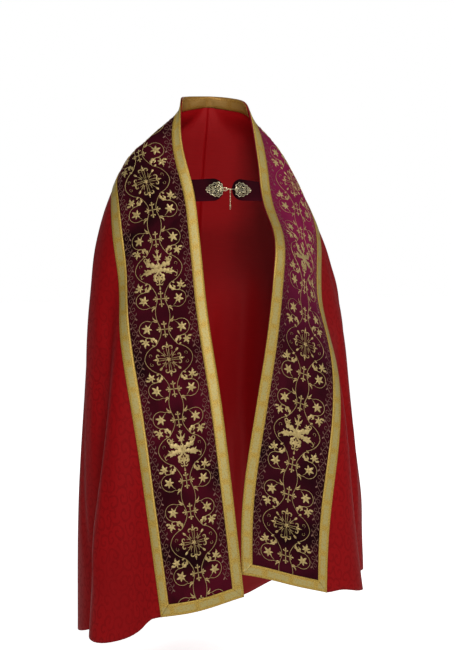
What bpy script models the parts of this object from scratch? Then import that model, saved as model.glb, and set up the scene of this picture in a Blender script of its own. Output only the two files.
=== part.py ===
"""A cope as it hangs from the shoulders: damask body, lining, velvet orphrey bands, galloon and clasp.

The cut is drawn flat, as a cutter lays it out: 't' runs along the straight edge from the nape, 's'
runs square to that edge into the cloth. Each flat point is then carried onto the hanging cloth. The
wearer faces -Y, +Z is up, and the origin is the nape, where the collar's edge crosses the centre back.
Lengths are in metres.
"""
import bpy
import bmesh
import numpy as np
from math import cos, pi, radians, sin

# ---- the cut ----
FRONT_LENGTH = 1.42        # straight edge from the nape to the hem
BAND_WIDTH = 0.230         # orphrey with its two galloons
GALLOON_WIDTH = 0.029
SEAM_ACROSS = 0.2155       # where velvet meets damask, under the outer galloon
SHOULDER_RUN = 0.34        # stretch of the band that lies round the neck and over a shoulder
NECK_RADIUS = 0.088
NECK_QUARTER = 0.14        # length of collar edge from the nape to the side of the neck
NECK_DROP = {-1: 0.0125, 1: 0.025}  # how far the collar's edge falls between the two
NECK_GALLOON_REACH = 0.14  # half length of the galloon inside the collar
GAP = 0.0003               # between neighbouring pieces

# ---- walls: how far each piece's inner and outer face stand off the cloth's base surface ----
DAMASK = (0.0, 0.0012)
VELVET = (0.0, 0.0015)
LINING = (-0.0013, -0.0003)
STITCHED_GAP = 0.0005      # under a galloon
GALLOON = (VELVET[1] + STITCHED_GAP, VELVET[1] + STITCHED_GAP + 0.0012)
NECK_GALLOON = (LINING[0] - STITCHED_GAP - 0.0012, LINING[0] - STITCHED_GAP)
TAB_THICKNESS = 0.003
TAB_TURNINGS = 0.0009      # folded edges between a tab and the lining it is sewn to
TAB_MIDDLE = LINING[0] - TAB_TURNINGS - TAB_THICKNESS / 2

# ---- how the cloth hangs: level outlines, a row for each distance from the nape ----
# distance  middle_y  half_right  half_left  front_right  front_left  back
# (right and left are the wearer's own; the right is at -X)
OUTLINES = np.array([
    (0.00, -0.088, 0.088, 0.088, 0.088, 0.088, 0.088),
    (0.05, -0.080, 0.119, 0.098, 0.085, 0.085, 0.092),
    (0.10, -0.068, 0.146, 0.116, 0.080, 0.080, 0.098),
    (0.14, -0.058, 0.163, 0.130, 0.075, 0.075, 0.106),
    (0.19, -0.050, 0.181, 0.152, 0.075, 0.075, 0.118),
    (0.25, -0.045, 0.205, 0.184, 0.088, 0.090, 0.135),
    (0.32, -0.040, 0.240, 0.221, 0.120, 0.125, 0.155),
    (0.43, -0.035, 0.280, 0.268, 0.146, 0.165, 0.176),
    (0.51, -0.030, 0.299, 0.304, 0.166, 0.190, 0.188),
    (0.69, -0.030, 0.322, 0.342, 0.195, 0.250, 0.212),
    (0.94, -0.030, 0.333, 0.366, 0.280, 0.325, 0.250),
    (1.19, -0.030, 0.343, 0.390, 0.345, 0.350, 0.292),
    (1.60, -0.030, 0.340, 0.420, 0.395, 0.345, 0.345)])

# the front edge seen from above, a row for each distance along it: distance, x, y
RIGHT_EDGE = np.array([
    (0.140, -0.0880, -0.088), (0.190, -0.0930, -0.104), (0.236, -0.0955, -0.121),
    (0.286, -0.0925, -0.140), (0.321, -0.0875, -0.155), (0.382, -0.0745, -0.170),
    (0.509, -0.0617, -0.190), (0.688, -0.0490, -0.220), (0.941, -0.0210, -0.270),
    (1.187, 0.0000, -0.312), (1.600, 0.0380, -0.350)])
LEFT_EDGE = np.array([
    (0.140, 0.0860, -0.086), (0.205, 0.0950, -0.105), (0.264, 0.0975, -0.130),
    (0.322, 0.0995, -0.155), (0.377, 0.0985, -0.178), (0.435, 0.0995, -0.213),
    (0.490, 0.1030, -0.255), (0.545, 0.1040, -0.299), (0.600, 0.0990, -0.335),
    (0.660, 0.0910, -0.350), (0.740, 0.0860, -0.342), (0.850, 0.0770, -0.324),
    (0.980, 0.0600, -0.310), (1.234, 0.0240, -0.309), (1.600, 0.0210, -0.330)])

# ---- the largest folds: distance from the nape where each begins, its direction in the cut there and
# ---- at the hem (degrees from the front edge), half width (degrees), height at the hem (- is a valley)
RIGHT_FOLDS = (
    (0.60, 17, 22, 8.0, 0.062), (0.36, 19, 31, 6.0, -0.064), (0.50, 34, 43, 9.0, 0.020),
    (0.50, 50, 56, 6.5, -0.046), (0.50, 63, 66, 8.0, 0.044), (0.45, 77, 78, 8.0, -0.044),
    (0.50, 90, 90, 8.0, 0.042))
LEFT_FOLDS = (
    (0.55, 13, 16.5, 8.0, 0.034), (0.60, 18, 26, 6.0, -0.060), (0.50, 28, 37, 8.0, 0.010),
    (0.50, 46, 52, 7.0, -0.046), (0.50, 62, 65, 8.0, 0.044), (0.45, 77, 78, 8.0, -0.044),
    (0.50, 90, 90, 8.0, 0.042))
FOLD_RUN = 1.42            # distance from the nape at which a fold has its full height
SLACK = 0.14               # share of each step that always goes into the drop, past SLACK_FROM
SLACK_FROM = 25            # degrees from the front edge
LEAST_DROP = 0.03          # smallest share of a step that goes into the drop anywhere
SQUARENESS = 0.25          # how far level outlines pass from ellipses towards rectangles
SQUARE_FROM = 0.4          # distance at which they have all of it
BAND_EASE = 0.25           # stretch below the shoulders over which the band takes up ease

# ---- the hem: direction in the cut (degrees), distance from the nape ----
RIGHT_HEM = np.array([
    (0.0, 1.420), (9.2, 1.4385), (11, 1.448), (14, 1.483), (17, 1.510), (20.5, 1.526), (24, 1.521),
    (27, 1.506), (31, 1.515), (37, 1.542), (60, 1.532), (90, 1.500)])
LEFT_HEM = np.array([
    (0.0, 1.420), (9.2, 1.4385), (12, 1.431), (16, 1.440), (20, 1.440), (25, 1.428), (34, 1.420),
    (42, 1.430), (60, 1.460), (90, 1.500)])

# ---- the clasp ----
CLASP_ALONG = {-1: 0.393, 1: 0.388}  # distance down each front edge of its tab's middle
TAB_HALF_HEIGHT = 0.0285
TAB_UNDER_BAND = 0.016     # length of tab sewn inside the front edge
TAB_END = {-1: (-0.001, -0.199, -0.248), 1: (0.0205, -0.199, -0.248)}
PLATE_LENGTH = 0.044
PLATE_HEIGHT = 0.037
PLATE_INSET = {-1: 0.0228, 1: 0.0295}  # from a tab's rounded end to its plate's middle
PLATE_TAPER = 0.45         # how much narrower the leaf is towards its tip than at its root
PLATE_FULLEST = 1.084      # greatest height that this taper gives an ellipse of height 1
PLATE_SPOKES = 48
PLATE_LOBES = 12
LOBE_DEPTH = 0.05          # share of the half length
PLATE_RINGS = (            # share of the outline, height above the tab, from the back up over the dome
    (0.5, 0.0008), (1.0, 0.0008), (1.0, 0.0018), (0.8, 0.0025), (0.5, 0.0034), (0.2, 0.0038))
WIRE_ROOT = 0.0021         # depth of the wires' roots inside the plates
WIRE_RADIUS = 0.0009
HOOK_STAND = 0.0028        # the hook's middle stands this far in front of the tabs' ends
HOOK_HALF_DEPTH = 0.0036
HOOK_SHAPE = (             # x, and y as a share of the half depth, from the plate round the bend
    (0.0205, -0.8), (0.0180, -0.96), (0.0142, -1.0), (0.0100, -1.0), (0.0060, -0.94), (0.0032, -0.66),
    (0.0018, -0.11), (0.0022, 0.5), (0.0042, 0.89), (0.0068, 1.0), (0.0100, 1.0))
HOOK_ROOTS = (0.0110, 0.0065)  # distances of the hook's roots from the tab's end
EYE_ROOT = 0.0095
EYE_TIP_X = 0.0075
EYE_BEHIND = 0.0010        # the eye's tip passes this far behind the hook's front
EYE_HALF_HEIGHT = 0.0034
DROP_X = 0.0142            # place of the hanging drop along the hook
DROP_LENGTH = 0.046
DROP_LINKS = 8
LINK_RADII = (0.0008, 0.0006)  # at a link's end, and how much more at its middle
RING_RADIUS, RING_WIRE = 0.0030, 0.0007
BEAD = (                   # radius, distance below the ring
    (0.0010, 0.0340), (0.0024, 0.0348), (0.0028, 0.0362), (0.0024, 0.0376), (0.0010, 0.0384))

# ---- mesh fineness ----
SHOULDER_COLUMNS = 25
FRONT_ROWS = 15
ROW_GROWTH = 1.25          # rows are closer together over the shoulders
RING_STEP = 0.005
RAYS = 181
OUTLINE_POINTS = 500
NAPE_RINGS = 5             # rings at the nape that share one normal a ray
SETTLING = 64              # passes of smoothing
LEAST_SETTLING = 0.25      # share of each pass that reaches the edge, the neck and the skirt
SETTLED = (0.10, 0.20, 0.42, 0.75)  # distances between which the shoulders get the whole of it
CORNER_SETTLED = 0.03      # the same for the edge, this far either side of the neck's corner

RIGHT, LEFT = -1, 1        # the wearer's own sides
EDGES = {RIGHT: RIGHT_EDGE, LEFT: LEFT_EDGE}
FOLDS = {RIGHT: RIGHT_FOLDS, LEFT: LEFT_FOLDS}
HEMS = {RIGHT: RIGHT_HEM, LEFT: LEFT_HEM}


def through(rows, values, at):
    """Smooth curve through a table's rows: cubic pieces whose slopes follow the neighbouring rows."""
    step = np.diff(rows)
    rise = np.diff(values) / step
    slope = np.concatenate([rise[:1], (rise[:-1] * step[1:] + rise[1:] * step[:-1]) / (step[:-1] + step[1:]),
                            rise[-1:]])
    at = np.clip(at, rows[0], rows[-1])
    k = np.clip(np.searchsorted(rows, at, side="right") - 1, 0, len(rows) - 2)
    u = (at - rows[k]) / step[k]
    ends = values[k] * (1 + 2 * u) * (1 - u) ** 2 + values[k + 1] * u * u * (3 - 2 * u)
    return ends + step[k] * (slope[k] * u * (1 - u) ** 2 - slope[k + 1] * u * u * (1 - u))


def soft_step(u):
    """0 to 1 with level ends."""
    u = np.clip(u, 0, 1)
    return u * u * (3 - 2 * u)


def edge_in_plan(side, distance):
    """The straight edge seen from above: round the neck first, then down the front.

    The collar's edge falls as a parabola from the nape, so its run in plan is a little shorter.
    """
    if distance < NECK_QUARTER:
        slope = 2 * NECK_DROP[side] * distance / NECK_QUARTER ** 2
        turn = distance * (1 - slope ** 2 / 6) / NECK_RADIUS
        return side * NECK_RADIUS * sin(turn), -NECK_RADIUS * (1 - cos(turn))
    table = EDGES[side]
    return tuple(float(through(table[:, 0], table[:, c], distance)) for c in (1, 2))


def outline_at(side, distance):
    """One level outline from the front edge to the centre back, with its length so far."""
    column = {RIGHT: (2, 4), LEFT: (3, 5)}[side]
    wanted = (1, column[0], column[1], 6)
    middle, half, front, back = [float(through(OUTLINES[:, 0], OUTLINES[:, c], distance)) for c in wanted]
    edge = edge_in_plan(side, distance)
    first = np.arctan2(side * edge[0], middle - edge[1])
    angle = np.linspace(first, pi, OUTLINE_POINTS)
    power = 2 + SQUARENESS * min(distance / SQUARE_FROM, 1)
    depth = np.where(np.cos(angle) > 0, front, back)
    radius = ((np.abs(np.sin(angle)) / half) ** power + (np.abs(np.cos(angle)) / depth) ** power) ** (-1 / power)
    line = np.stack([side * radius * np.sin(angle), middle - radius * np.cos(angle)], 1)
    length = run_along(line)
    pull = soft_step(1 - length / min(BAND_WIDTH, 0.75 * length[-1]))
    line = line + (np.array(edge) - line[0]) * pull[:, None]
    return line, run_along(line), middle


def run_along(line):
    """Length along a line up to each of its points."""
    return np.concatenate([[0], np.cumsum(np.hypot(*np.diff(line, axis=0).T))])


def share_out(distance, rays, heights, length):
    """Where each ray of the cut meets an outline: the band keeps its width, the body takes the rest."""
    flat = distance * np.diff(rays)
    along = np.sqrt(np.maximum(flat ** 2 - np.diff(heights) ** 2, (0.05 * flat) ** 2))
    along = np.concatenate([[0], np.cumsum(along)])
    band = np.interp(np.arcsin(min(BAND_WIDTH / distance, 1)), rays, along)
    near_neck = soft_step(1 - (distance - BAND_WIDTH) / BAND_EASE)
    band_scale = 1 + (length / along[-1] - 1) * near_neck
    rest_scale = (length - band * band_scale) / max(along[-1] - band, 1e-9)
    return np.where(along < band, along * band_scale, band * band_scale + (along - band) * rest_scale)


def add_folds(side, distance, rays, plan, middle):
    """Push the outline out at ridges and in at valleys, more towards the hem."""
    tangent = np.gradient(plan, axis=0)
    normal = np.stack([tangent[:, 1], -tangent[:, 0]], 1)
    normal /= np.linalg.norm(normal, axis=1, keepdims=True) + 1e-12
    outward = np.sign(np.sum(normal * (plan - np.array([0, middle])), axis=1))
    for start, first, last, half_width, height in FOLDS[side]:
        if distance > start:
            grown = (distance - start) / (FOLD_RUN - start)
            direction = first + (last - first) * grown
            bump = np.clip(1 - ((np.degrees(rays) - direction) / half_width) ** 2, 0, None) ** 2
            plan = plan + normal * (outward * bump * height * grown)[:, None]
    return plan


def hang(side):
    """Points of the hanging cloth on rings about the nape: plan from the outlines, height from length.

    Ring by ring, every ray of the cut moves to its place on the next outline and drops by what is
    left of the cloth's own length, so the cloth keeps its size on the way down.
    """
    rays = np.linspace(0, pi / 2, RAYS)
    distances = np.arange(0, HEMS[side][:, 1].max() + 2 * RING_STEP, RING_STEP)
    cloth = np.zeros((len(distances), RAYS, 3))
    slowest = 1 - SLACK * np.clip(np.degrees(rays) / SLACK_FROM, 0, 1)
    for k in range(1, len(distances)):
        distance = distances[k]
        heights = cloth[k - 1, :, 2] * distance / distances[k - 1] if k > 1 else -distance * np.sin(rays)
        line, length, middle = outline_at(side, distance)
        place = share_out(distance, rays, heights, length[-1])
        plan = np.stack([np.interp(place, length, line[:, c]) for c in (0, 1)], 1)
        plan = add_folds(side, distance, rays, plan, middle)
        move = plan - cloth[k - 1, :, :2]
        size = np.hypot(move[:, 0], move[:, 1]) + 1e-12
        move *= np.minimum(1, slowest * RING_STEP / size)[:, None]
        cloth[k, :, :2] = cloth[k - 1, :, :2] + move
        drop = np.sqrt(np.maximum(RING_STEP ** 2 - np.sum(move ** 2, axis=1), (LEAST_DROP * RING_STEP) ** 2))
        cloth[k, :, 2] = cloth[k - 1, :, 2] - drop
    return settle(cloth)


def settle(cloth):
    """Ease out the smallest kinks, as a lined cloth's stiffness does, without moving its edges."""
    distance = np.arange(len(cloth)) * RING_STEP
    start, full, fade, end = SETTLED
    over_shoulder = soft_step((distance - start) / (full - start)) * soft_step((end - distance) / (end - fade))
    off_edge = soft_step(np.linspace(0, 10, RAYS))
    corner = np.exp(-((distance - NECK_QUARTER) / CORNER_SETTLED) ** 2)
    share = np.maximum(over_shoulder[:, None] * off_edge, corner[:, None])
    share = (LEAST_SETTLING + (1 - LEAST_SETTLING) * share)[..., None]
    for _ in range(SETTLING):
        along = (cloth[:-2] + cloth[2:]) / 2 - cloth[1:-1]
        cloth[1:-1] += along * share[1:-1] / 2
        mirror = cloth[:, -2] * np.array([-1, 1, 1])
        across = (cloth[:, :-2] + cloth[:, 2:]) / 2 - cloth[:, 1:-1]
        cloth[:, -1] += ((cloth[:, -2] + mirror) / 2 - cloth[:, -1]) * share[:, -1] / 2
        cloth[:, 1:-1] += across * share[:, 1:-1] / 2
        cloth[:, -1, 0] = 0
    return cloth


def outward_normals(side, cloth):
    """Unit normals of the ringed cloth, pointing away from the wearer."""
    normal = np.cross(np.gradient(cloth, axis=0), np.gradient(cloth, axis=1)) * side
    normal[:NAPE_RINGS] = normal[NAPE_RINGS]
    return normal / np.linalg.norm(normal, axis=2, keepdims=True)


HANGING = {side: hang(side) for side in (RIGHT, LEFT)}
NORMALS = {side: outward_normals(side, HANGING[side]) for side in (RIGHT, LEFT)}


def on_cloth(side, t, s, lift=0.0):
    """Carry flat points (t along the straight edge, s into the cloth) onto the hanging cloth."""
    t, s = np.broadcast_arrays(np.asarray(t, float), np.asarray(s, float))
    ring = np.hypot(t, s) / RING_STEP
    ray = np.arctan2(s, t) / (pi / 2) * (RAYS - 1)
    k = np.clip(ring.astype(int), 0, len(HANGING[side]) - 2)
    j = np.clip(ray.astype(int), 0, RAYS - 2)
    u, v = (ring - k)[..., None], (ray - j)[..., None]

    def blend(field):
        return ((field[k, j] * (1 - u) + field[k + 1, j] * u) * (1 - v)
                + (field[k, j + 1] * (1 - u) + field[k + 1, j + 1] * u) * v)
    normal = blend(NORMALS[side])
    normal /= np.linalg.norm(normal, axis=-1, keepdims=True)
    return blend(HANGING[side]) + normal * np.asarray(lift)[..., None]


def on_both(t, s, lift=0.0):
    """The same for a piece that runs round the nape: t is negative on the wearer's right."""
    t, s = np.broadcast_arrays(np.asarray(t, float), np.asarray(s, float))
    right = on_cloth(RIGHT, np.abs(t), s, lift)
    left = on_cloth(LEFT, np.abs(t), s, lift)
    point = np.where((t < 0)[..., None], right, left)
    at_back = np.abs(t) < 1e-9
    point[at_back] = (right[at_back] + left[at_back]) / 2
    return point


# ---- the flat grid that all cloth pieces share ----

def stations():
    """Places along the straight edge: even over the shoulder, wider apart down the front."""
    down = (np.arange(1, FRONT_ROWS) / FRONT_ROWS) ** ROW_GROWTH
    run = FRONT_LENGTH - GALLOON_WIDTH - SHOULDER_RUN
    front = SHOULDER_RUN + np.append(down, 1) * run
    shoulder = np.linspace(0, SHOULDER_RUN, SHOULDER_COLUMNS + 1)
    return np.concatenate([shoulder, front, [FRONT_LENGTH]])


def body_patch(side, across):
    """Flat points of the body: one edge follows the band, the others are the hem and centre back."""
    t = stations()
    rows = (t[SHOULDER_COLUMNS:] - SHOULDER_RUN) / (FRONT_LENGTH - SHOULDER_RUN)
    columns = np.linspace(0, 1, SHOULDER_COLUMNS + 1)
    first = np.degrees(np.arctan2(across, FRONT_LENGTH))
    turn = first + (90 - first) * columns
    reach = through(HEMS[side][:, 0], HEMS[side][:, 1], turn)
    reach[0] = np.hypot(FRONT_LENGTH, across)
    hem = np.stack([reach * np.cos(np.radians(turn)), reach * np.sin(np.radians(turn))], 1)
    hem[-1, 0] = 0
    top = np.stack([SHOULDER_RUN * (1 - columns), np.full_like(columns, across)], 1)
    front = np.stack([t[SHOULDER_COLUMNS:], np.full_like(rows, across)], 1)
    back = np.stack([np.zeros_like(rows), across + (reach[-1] - across) * rows], 1)
    c, v = columns[None, :, None], rows[:, None, None]
    corners = ((1 - c) * (1 - v) * top[0] + c * (1 - v) * top[-1] + (1 - c) * v * hem[0] + c * v * hem[-1])
    return (1 - v) * top[None] + v * hem[None] + (1 - c) * front[:, None] + c * back[:, None] - corners


def flat_panel(side, across, with_body):
    """Flat points and triangles of a panel: strips along the band, then the body if asked for."""
    t = stations()
    flat = [np.stack([t, np.full_like(t, a)], 1) for a in across]
    n = len(t)
    rail = [np.arange(n) + i * n for i in range(len(across))]
    faces = []
    if with_body:
        patch = body_patch(side, SEAM_ACROSS + GAP / 2 + GALLOON_WIDTH / 2)
        rows, columns = patch.shape[:2]
        index = len(across) * n + np.arange(rows * columns).reshape(rows, columns)
        flat.append(patch.reshape(-1, 2))
        rail.append(np.concatenate([index[0, ::-1], index[1:, 0]]))
        faces += grid_triangles(index)
    for inner, outer in zip(rail[:-1], rail[1:]):
        faces += grid_triangles(np.stack([inner, outer]))
    return np.concatenate(flat), faces


def grid_triangles(index):
    """Triangles of a grid of point numbers, every cell cut along the same diagonal."""
    a, b, c, d = index[:-1, :-1], index[1:, :-1], index[1:, 1:], index[:-1, 1:]
    first = np.stack([a, b, c], -1).reshape(-1, 3)
    second = np.stack([a, c, d], -1).reshape(-1, 3)
    return first.tolist() + second.tolist()


# ---- solids ----

def material(name, colour, roughness, metallic=0.0):
    """A plain finish: colour as linear red, green, blue."""
    finish = bpy.data.materials.get(name) or bpy.data.materials.new(name)
    finish.use_nodes = True
    shader = finish.node_tree.nodes["Principled BSDF"]
    shader.inputs["Base Color"].default_value = (*colour, 1)
    shader.inputs["Roughness"].default_value = roughness
    shader.inputs["Metallic"].default_value = metallic
    return finish


def add_solid(name, points, faces, finish, origin=(0, 0, 0)):
    """A closed mesh object with its faces pointing out."""
    mesh = bpy.data.meshes.new(name)
    mesh.from_pydata((np.asarray(points) - np.array(origin)).tolist(), [], faces)
    work = bmesh.new()
    work.from_mesh(mesh)
    bmesh.ops.recalc_face_normals(work, faces=work.faces)
    work.to_mesh(mesh)
    work.free()
    mesh.shade_smooth()
    mesh.set_sharp_from_angle(angle=radians(50))
    mesh.materials.append(finish)
    solid = bpy.data.objects.new(name, mesh)
    solid.location = origin
    bpy.context.scene.collection.objects.link(solid)
    return solid


def wall(name, inner, outer, faces, finish):
    """Cloth with a thickness: two matching skins, joined round every open edge."""
    n = len(inner)
    sides = np.sort(np.concatenate([np.array(faces)[:, pair] for pair in ((0, 1), (1, 2), (2, 0))]), axis=1)
    sides, uses = np.unique(sides, axis=0, return_counts=True)
    rim = []
    for a, b in sides[uses == 1].tolist():
        rim += [(a, b, b + n), (a, b + n, a + n)]
    skins = faces + (np.array(faces) + n).tolist()
    return add_solid(name, np.concatenate([inner, outer]), skins + rim, finish)


def cloth_panel(name, side, across, with_body, lifts, finish):
    """One side's panel, a seam's half gap clear of the centre back."""
    flat, faces = flat_panel(side, across, with_body)
    skins = [on_cloth(side, flat[:, 0], flat[:, 1], lift) for lift in lifts]
    for skin in skins:
        at_back = flat[:, 0] < 1e-9
        skin[at_back, 0] = side * GAP / 2
    return wall(name, skins[0], skins[1], faces, finish)


def strip(name, t, across, lifts, finish):
    """A ribbon laid on the cloth: t may vary across the ribbon, for a mitred end."""
    index = np.arange(t.size).reshape(t.shape)
    across = np.broadcast_to(across, t.shape)
    skins = [on_both(t, across, lift).reshape(-1, 3) for lift in lifts]
    faces = []
    for row in range(len(t) - 1):
        outwards = abs(t[row, 0]) < abs(t[row + 1, 0])
        faces += grid_triangles(index[[row, row + 1] if outwards else [row + 1, row]])
    return wall(name, skins[0], skins[1], faces, finish)


def long_galloon(name, across, mitred_at, finish):
    """Galloon from hem to hem round the nape, mitred where it meets the hem's galloon."""
    half = stations()
    t = np.concatenate([-half[:0:-1], half])[:, None] + np.zeros(len(across))
    across = np.array(across)
    end = FRONT_LENGTH - np.abs(across - mitred_at) - GAP
    t[0], t[-1] = -end, end
    return strip(name, t, across, GALLOON, finish)


def hem_galloon(name, side, finish):
    """Galloon along the band's lower end, mitred at both corners."""
    inner, middle, outer = GALLOON_WIDTH, BAND_WIDTH / 2, BAND_WIDTH - GALLOON_WIDTH
    across = np.array([inner, middle, outer, 0.0, inner, middle, outer, SEAM_ACROSS, BAND_WIDTH])
    along = side * np.array([FRONT_LENGTH - GALLOON_WIDTH] * 3 + [FRONT_LENGTH] * 6)
    faces = [(3, 4, 0), (0, 4, 5), (0, 5, 1), (1, 5, 6), (1, 6, 2), (2, 6, 7), (2, 7, 8)]
    skins = [on_both(along, across, lift) for lift in GALLOON]
    return wall(name, skins[0], skins[1], faces, finish)


# ---- clasp ----

def tab_point(side, along, up):
    """A tab's middle surface: 'along' is 0 at the front edge and 1 at the rounded end."""
    along, up = np.broadcast_arrays(np.asarray(along, float), np.asarray(up, float))
    inside = np.clip(-along, 0, None) * TAB_UNDER_BAND
    sewn = on_cloth(side, CLASP_ALONG[side] - up, inside, TAB_MIDDLE)
    end = np.array(TAB_END[side]) + up[..., None] * np.array([0, 0, 1.0])
    reach = np.clip(along, 0, None)[..., None]
    return sewn * (1 - reach) + end * reach


def tab_normal(side, along, up):
    """Unit normal of a tab towards the viewer in front."""
    step = 0.01
    run = tab_point(side, along + step, up) - tab_point(side, along - step, up)
    rise = tab_point(side, along, up + 0.001) - tab_point(side, along, up - 0.001)
    normal = np.cross(run, rise) * side
    normal = normal * -np.sign(normal[..., 1:2])
    return normal / np.linalg.norm(normal, axis=-1, keepdims=True)


def tab_length(side):
    """Length of a tab from the front edge to its rounded end."""
    edge = tab_point(side, 0.0, 0.0)
    return float(np.linalg.norm(np.array(TAB_END[side]) - edge))


def add_tab(name, side, finish):
    """A velvet tab with a half-round end, sewn inside the front edge."""
    length = tab_length(side)
    straight = 1 - TAB_HALF_HEIGHT / length
    turn = np.radians([18, 36, 54, 70, 84])
    along = np.concatenate([[-1, -0.5, 0, 0.1, 0.3, straight], straight + (1 - straight) * np.sin(turn)])
    height = TAB_HALF_HEIGHT * np.concatenate([np.ones(6), np.cos(turn)])
    up = height[:, None] * np.linspace(-1, 1, 7)
    along = np.repeat(along[:, None], 7, 1)
    middle = tab_point(side, along, up)
    normal = tab_normal(side, along, up)
    skins = [(middle + normal * half).reshape(-1, 3) for half in (-TAB_THICKNESS / 2, TAB_THICKNESS / 2)]
    return wall(name, skins[0], skins[1], grid_triangles(np.arange(up.size).reshape(up.shape)), finish)


def add_plate(name, side, finish):
    """A domed leaf-shaped plate with a lobed rim, pointing away from the opening."""
    length = tab_length(side)
    spokes = np.arange(PLATE_SPOKES) * 2 * pi / PLATE_SPOKES
    leaf = 1 + LOBE_DEPTH * (np.cos(PLATE_LOBES * spokes) - 1)
    taper = (1 - PLATE_TAPER * np.cos(spokes)) / PLATE_FULLEST
    reach_out = PLATE_LENGTH / 2 * leaf * np.cos(spokes)
    reach_up = PLATE_HEIGHT / 2 * leaf * taper * np.sin(spokes)

    def ring(share, height):
        along, up = 1 - (PLATE_INSET[side] + share * reach_out) / length, share * reach_up
        return tab_point(side, along, up) + tab_normal(side, along, up) * (TAB_THICKNESS / 2 + height)
    points = np.concatenate([ring(*row) for row in PLATE_RINGS])
    hubs = [ring(0.0, PLATE_RINGS[k][1])[:1] for k in (0, -1)]
    points = np.concatenate([points] + hubs)
    index = np.arange(len(PLATE_RINGS) * PLATE_SPOKES).reshape(len(PLATE_RINGS), PLATE_SPOKES)
    index = np.concatenate([index, index[:, :1]], 1)
    faces = grid_triangles(index)
    for row, hub in ((index[0], len(points) - 2), (index[-1], len(points) - 1)):
        faces += [(int(a), int(b), hub) for a, b in zip(row[:-1], row[1:])]
    return add_solid(name, points, faces, finish)


def wire(name, path, radius, closed, finish):
    """Round wire along a path, as an eight-sided tube."""
    curve = bpy.data.curves.new(name, "CURVE")
    curve.dimensions = "3D"
    curve.bevel_depth = radius
    curve.bevel_resolution = 2
    curve.use_fill_caps = True
    spline = curve.splines.new("POLY")
    spline.points.add(len(path) - 1)
    for point, place in zip(spline.points, path):
        point.co = (*place, 1)
    spline.use_cyclic_u = closed
    guide = bpy.data.objects.new(name, curve)
    bpy.context.scene.collection.objects.link(guide)
    mesh = bpy.data.meshes.new_from_object(guide.evaluated_get(bpy.context.evaluated_depsgraph_get()))
    bpy.data.objects.remove(guide)
    mesh.materials.clear()
    mesh.materials.append(finish)
    solid = bpy.data.objects.new(name, mesh)
    bpy.context.scene.collection.objects.link(solid)
    return solid


def fuse(solid, other):
    """Join a second solid to the first with a union, and leave the second out of the model."""
    other.hide_render = True
    other.display_type = "WIRE"
    union = solid.modifiers.new("joined", "BOOLEAN")
    union.operation = "UNION"
    union.object = other


def clasp_middle():
    """The y of the middle of the hook's bend, in front of the tabs' ends."""
    return TAB_END[LEFT][1] - TAB_THICKNESS / 2 - HOOK_STAND


def in_plate(side, inset):
    """A point inside a plate, at a distance from the tab's rounded end."""
    along = 1 - inset / tab_length(side)
    return tab_point(side, along, 0.0) + tab_normal(side, along, 0.0) * (TAB_THICKNESS / 2 + WIRE_ROOT)


def eye_path():
    """Long round-ended loop of wire, flat to the front, cast into the wearer's right plate."""
    root = in_plate(RIGHT, EYE_ROOT)
    tip = np.array([EYE_TIP_X, clasp_middle() - EYE_BEHIND, TAB_END[RIGHT][2]])
    run = tip - root
    share = EYE_HALF_HEIGHT / np.linalg.norm(run)
    turn = np.linspace(-pi / 2, pi / 2, 9)[:, None]
    rise = np.array([0, 0, EYE_HALF_HEIGHT]) * np.sin(turn)
    round_off = run * share * (1 - np.cos(turn))
    return np.concatenate([tip - round_off + rise, root + round_off - rise])


def hook_path():
    """Hook from the wearer's left plate: out in front, round the eye's end, back behind it."""
    y, z = clasp_middle(), TAB_END[LEFT][2]
    bend = [(x, y + HOOK_HALF_DEPTH * share, z) for x, share in HOOK_SHAPE]
    return [in_plate(LEFT, inset) for inset in HOOK_ROOTS] + bend


def drop_pivot():
    """Centre of the hook's wire where the drop hangs."""
    return (DROP_X, clasp_middle() - HOOK_HALF_DEPTH, TAB_END[LEFT][2])


def add_drop(name, finish):
    """A short chain with a bead near its end, hanging by a ring from the hook."""
    x, y, z = drop_pivot()
    centre = z - (RING_RADIUS - RING_WIRE - WIRE_RADIUS - GAP)
    top = centre - RING_RADIUS + RING_WIRE / 3
    end, swell = LINK_RADII
    down = np.linspace(0, 1, DROP_LINKS * 4 + 1)
    links = [(end + swell * abs(sin(pi * DROP_LINKS * share)), DROP_LENGTH * share) for share in down]
    links = [row for row in links if not BEAD[0][1] <= row[1] <= BEAD[-1][1]]
    rows = sorted(links + list(BEAD), key=lambda row: row[1])
    around = np.arange(8) * pi / 4
    points = np.concatenate([np.stack([x + r * np.cos(around), y + r * np.sin(around),
                                       np.full(8, top - below)], 1) for r, below in rows])
    index = np.arange(len(points)).reshape(len(rows), 8)
    faces = grid_triangles(np.concatenate([index, index[:, :1]], 1))
    faces += [index[0].tolist(), index[-1].tolist()]
    drop = add_solid(name, points, faces, finish, origin=(x, y, z))
    turn = np.arange(16) * pi / 8
    path = [(x, y + RING_RADIUS * sin(a), centre + RING_RADIUS * cos(a)) for a in turn]
    fuse(drop, wire("drop_ring", path, RING_WIRE, True, finish))
    return drop


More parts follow.
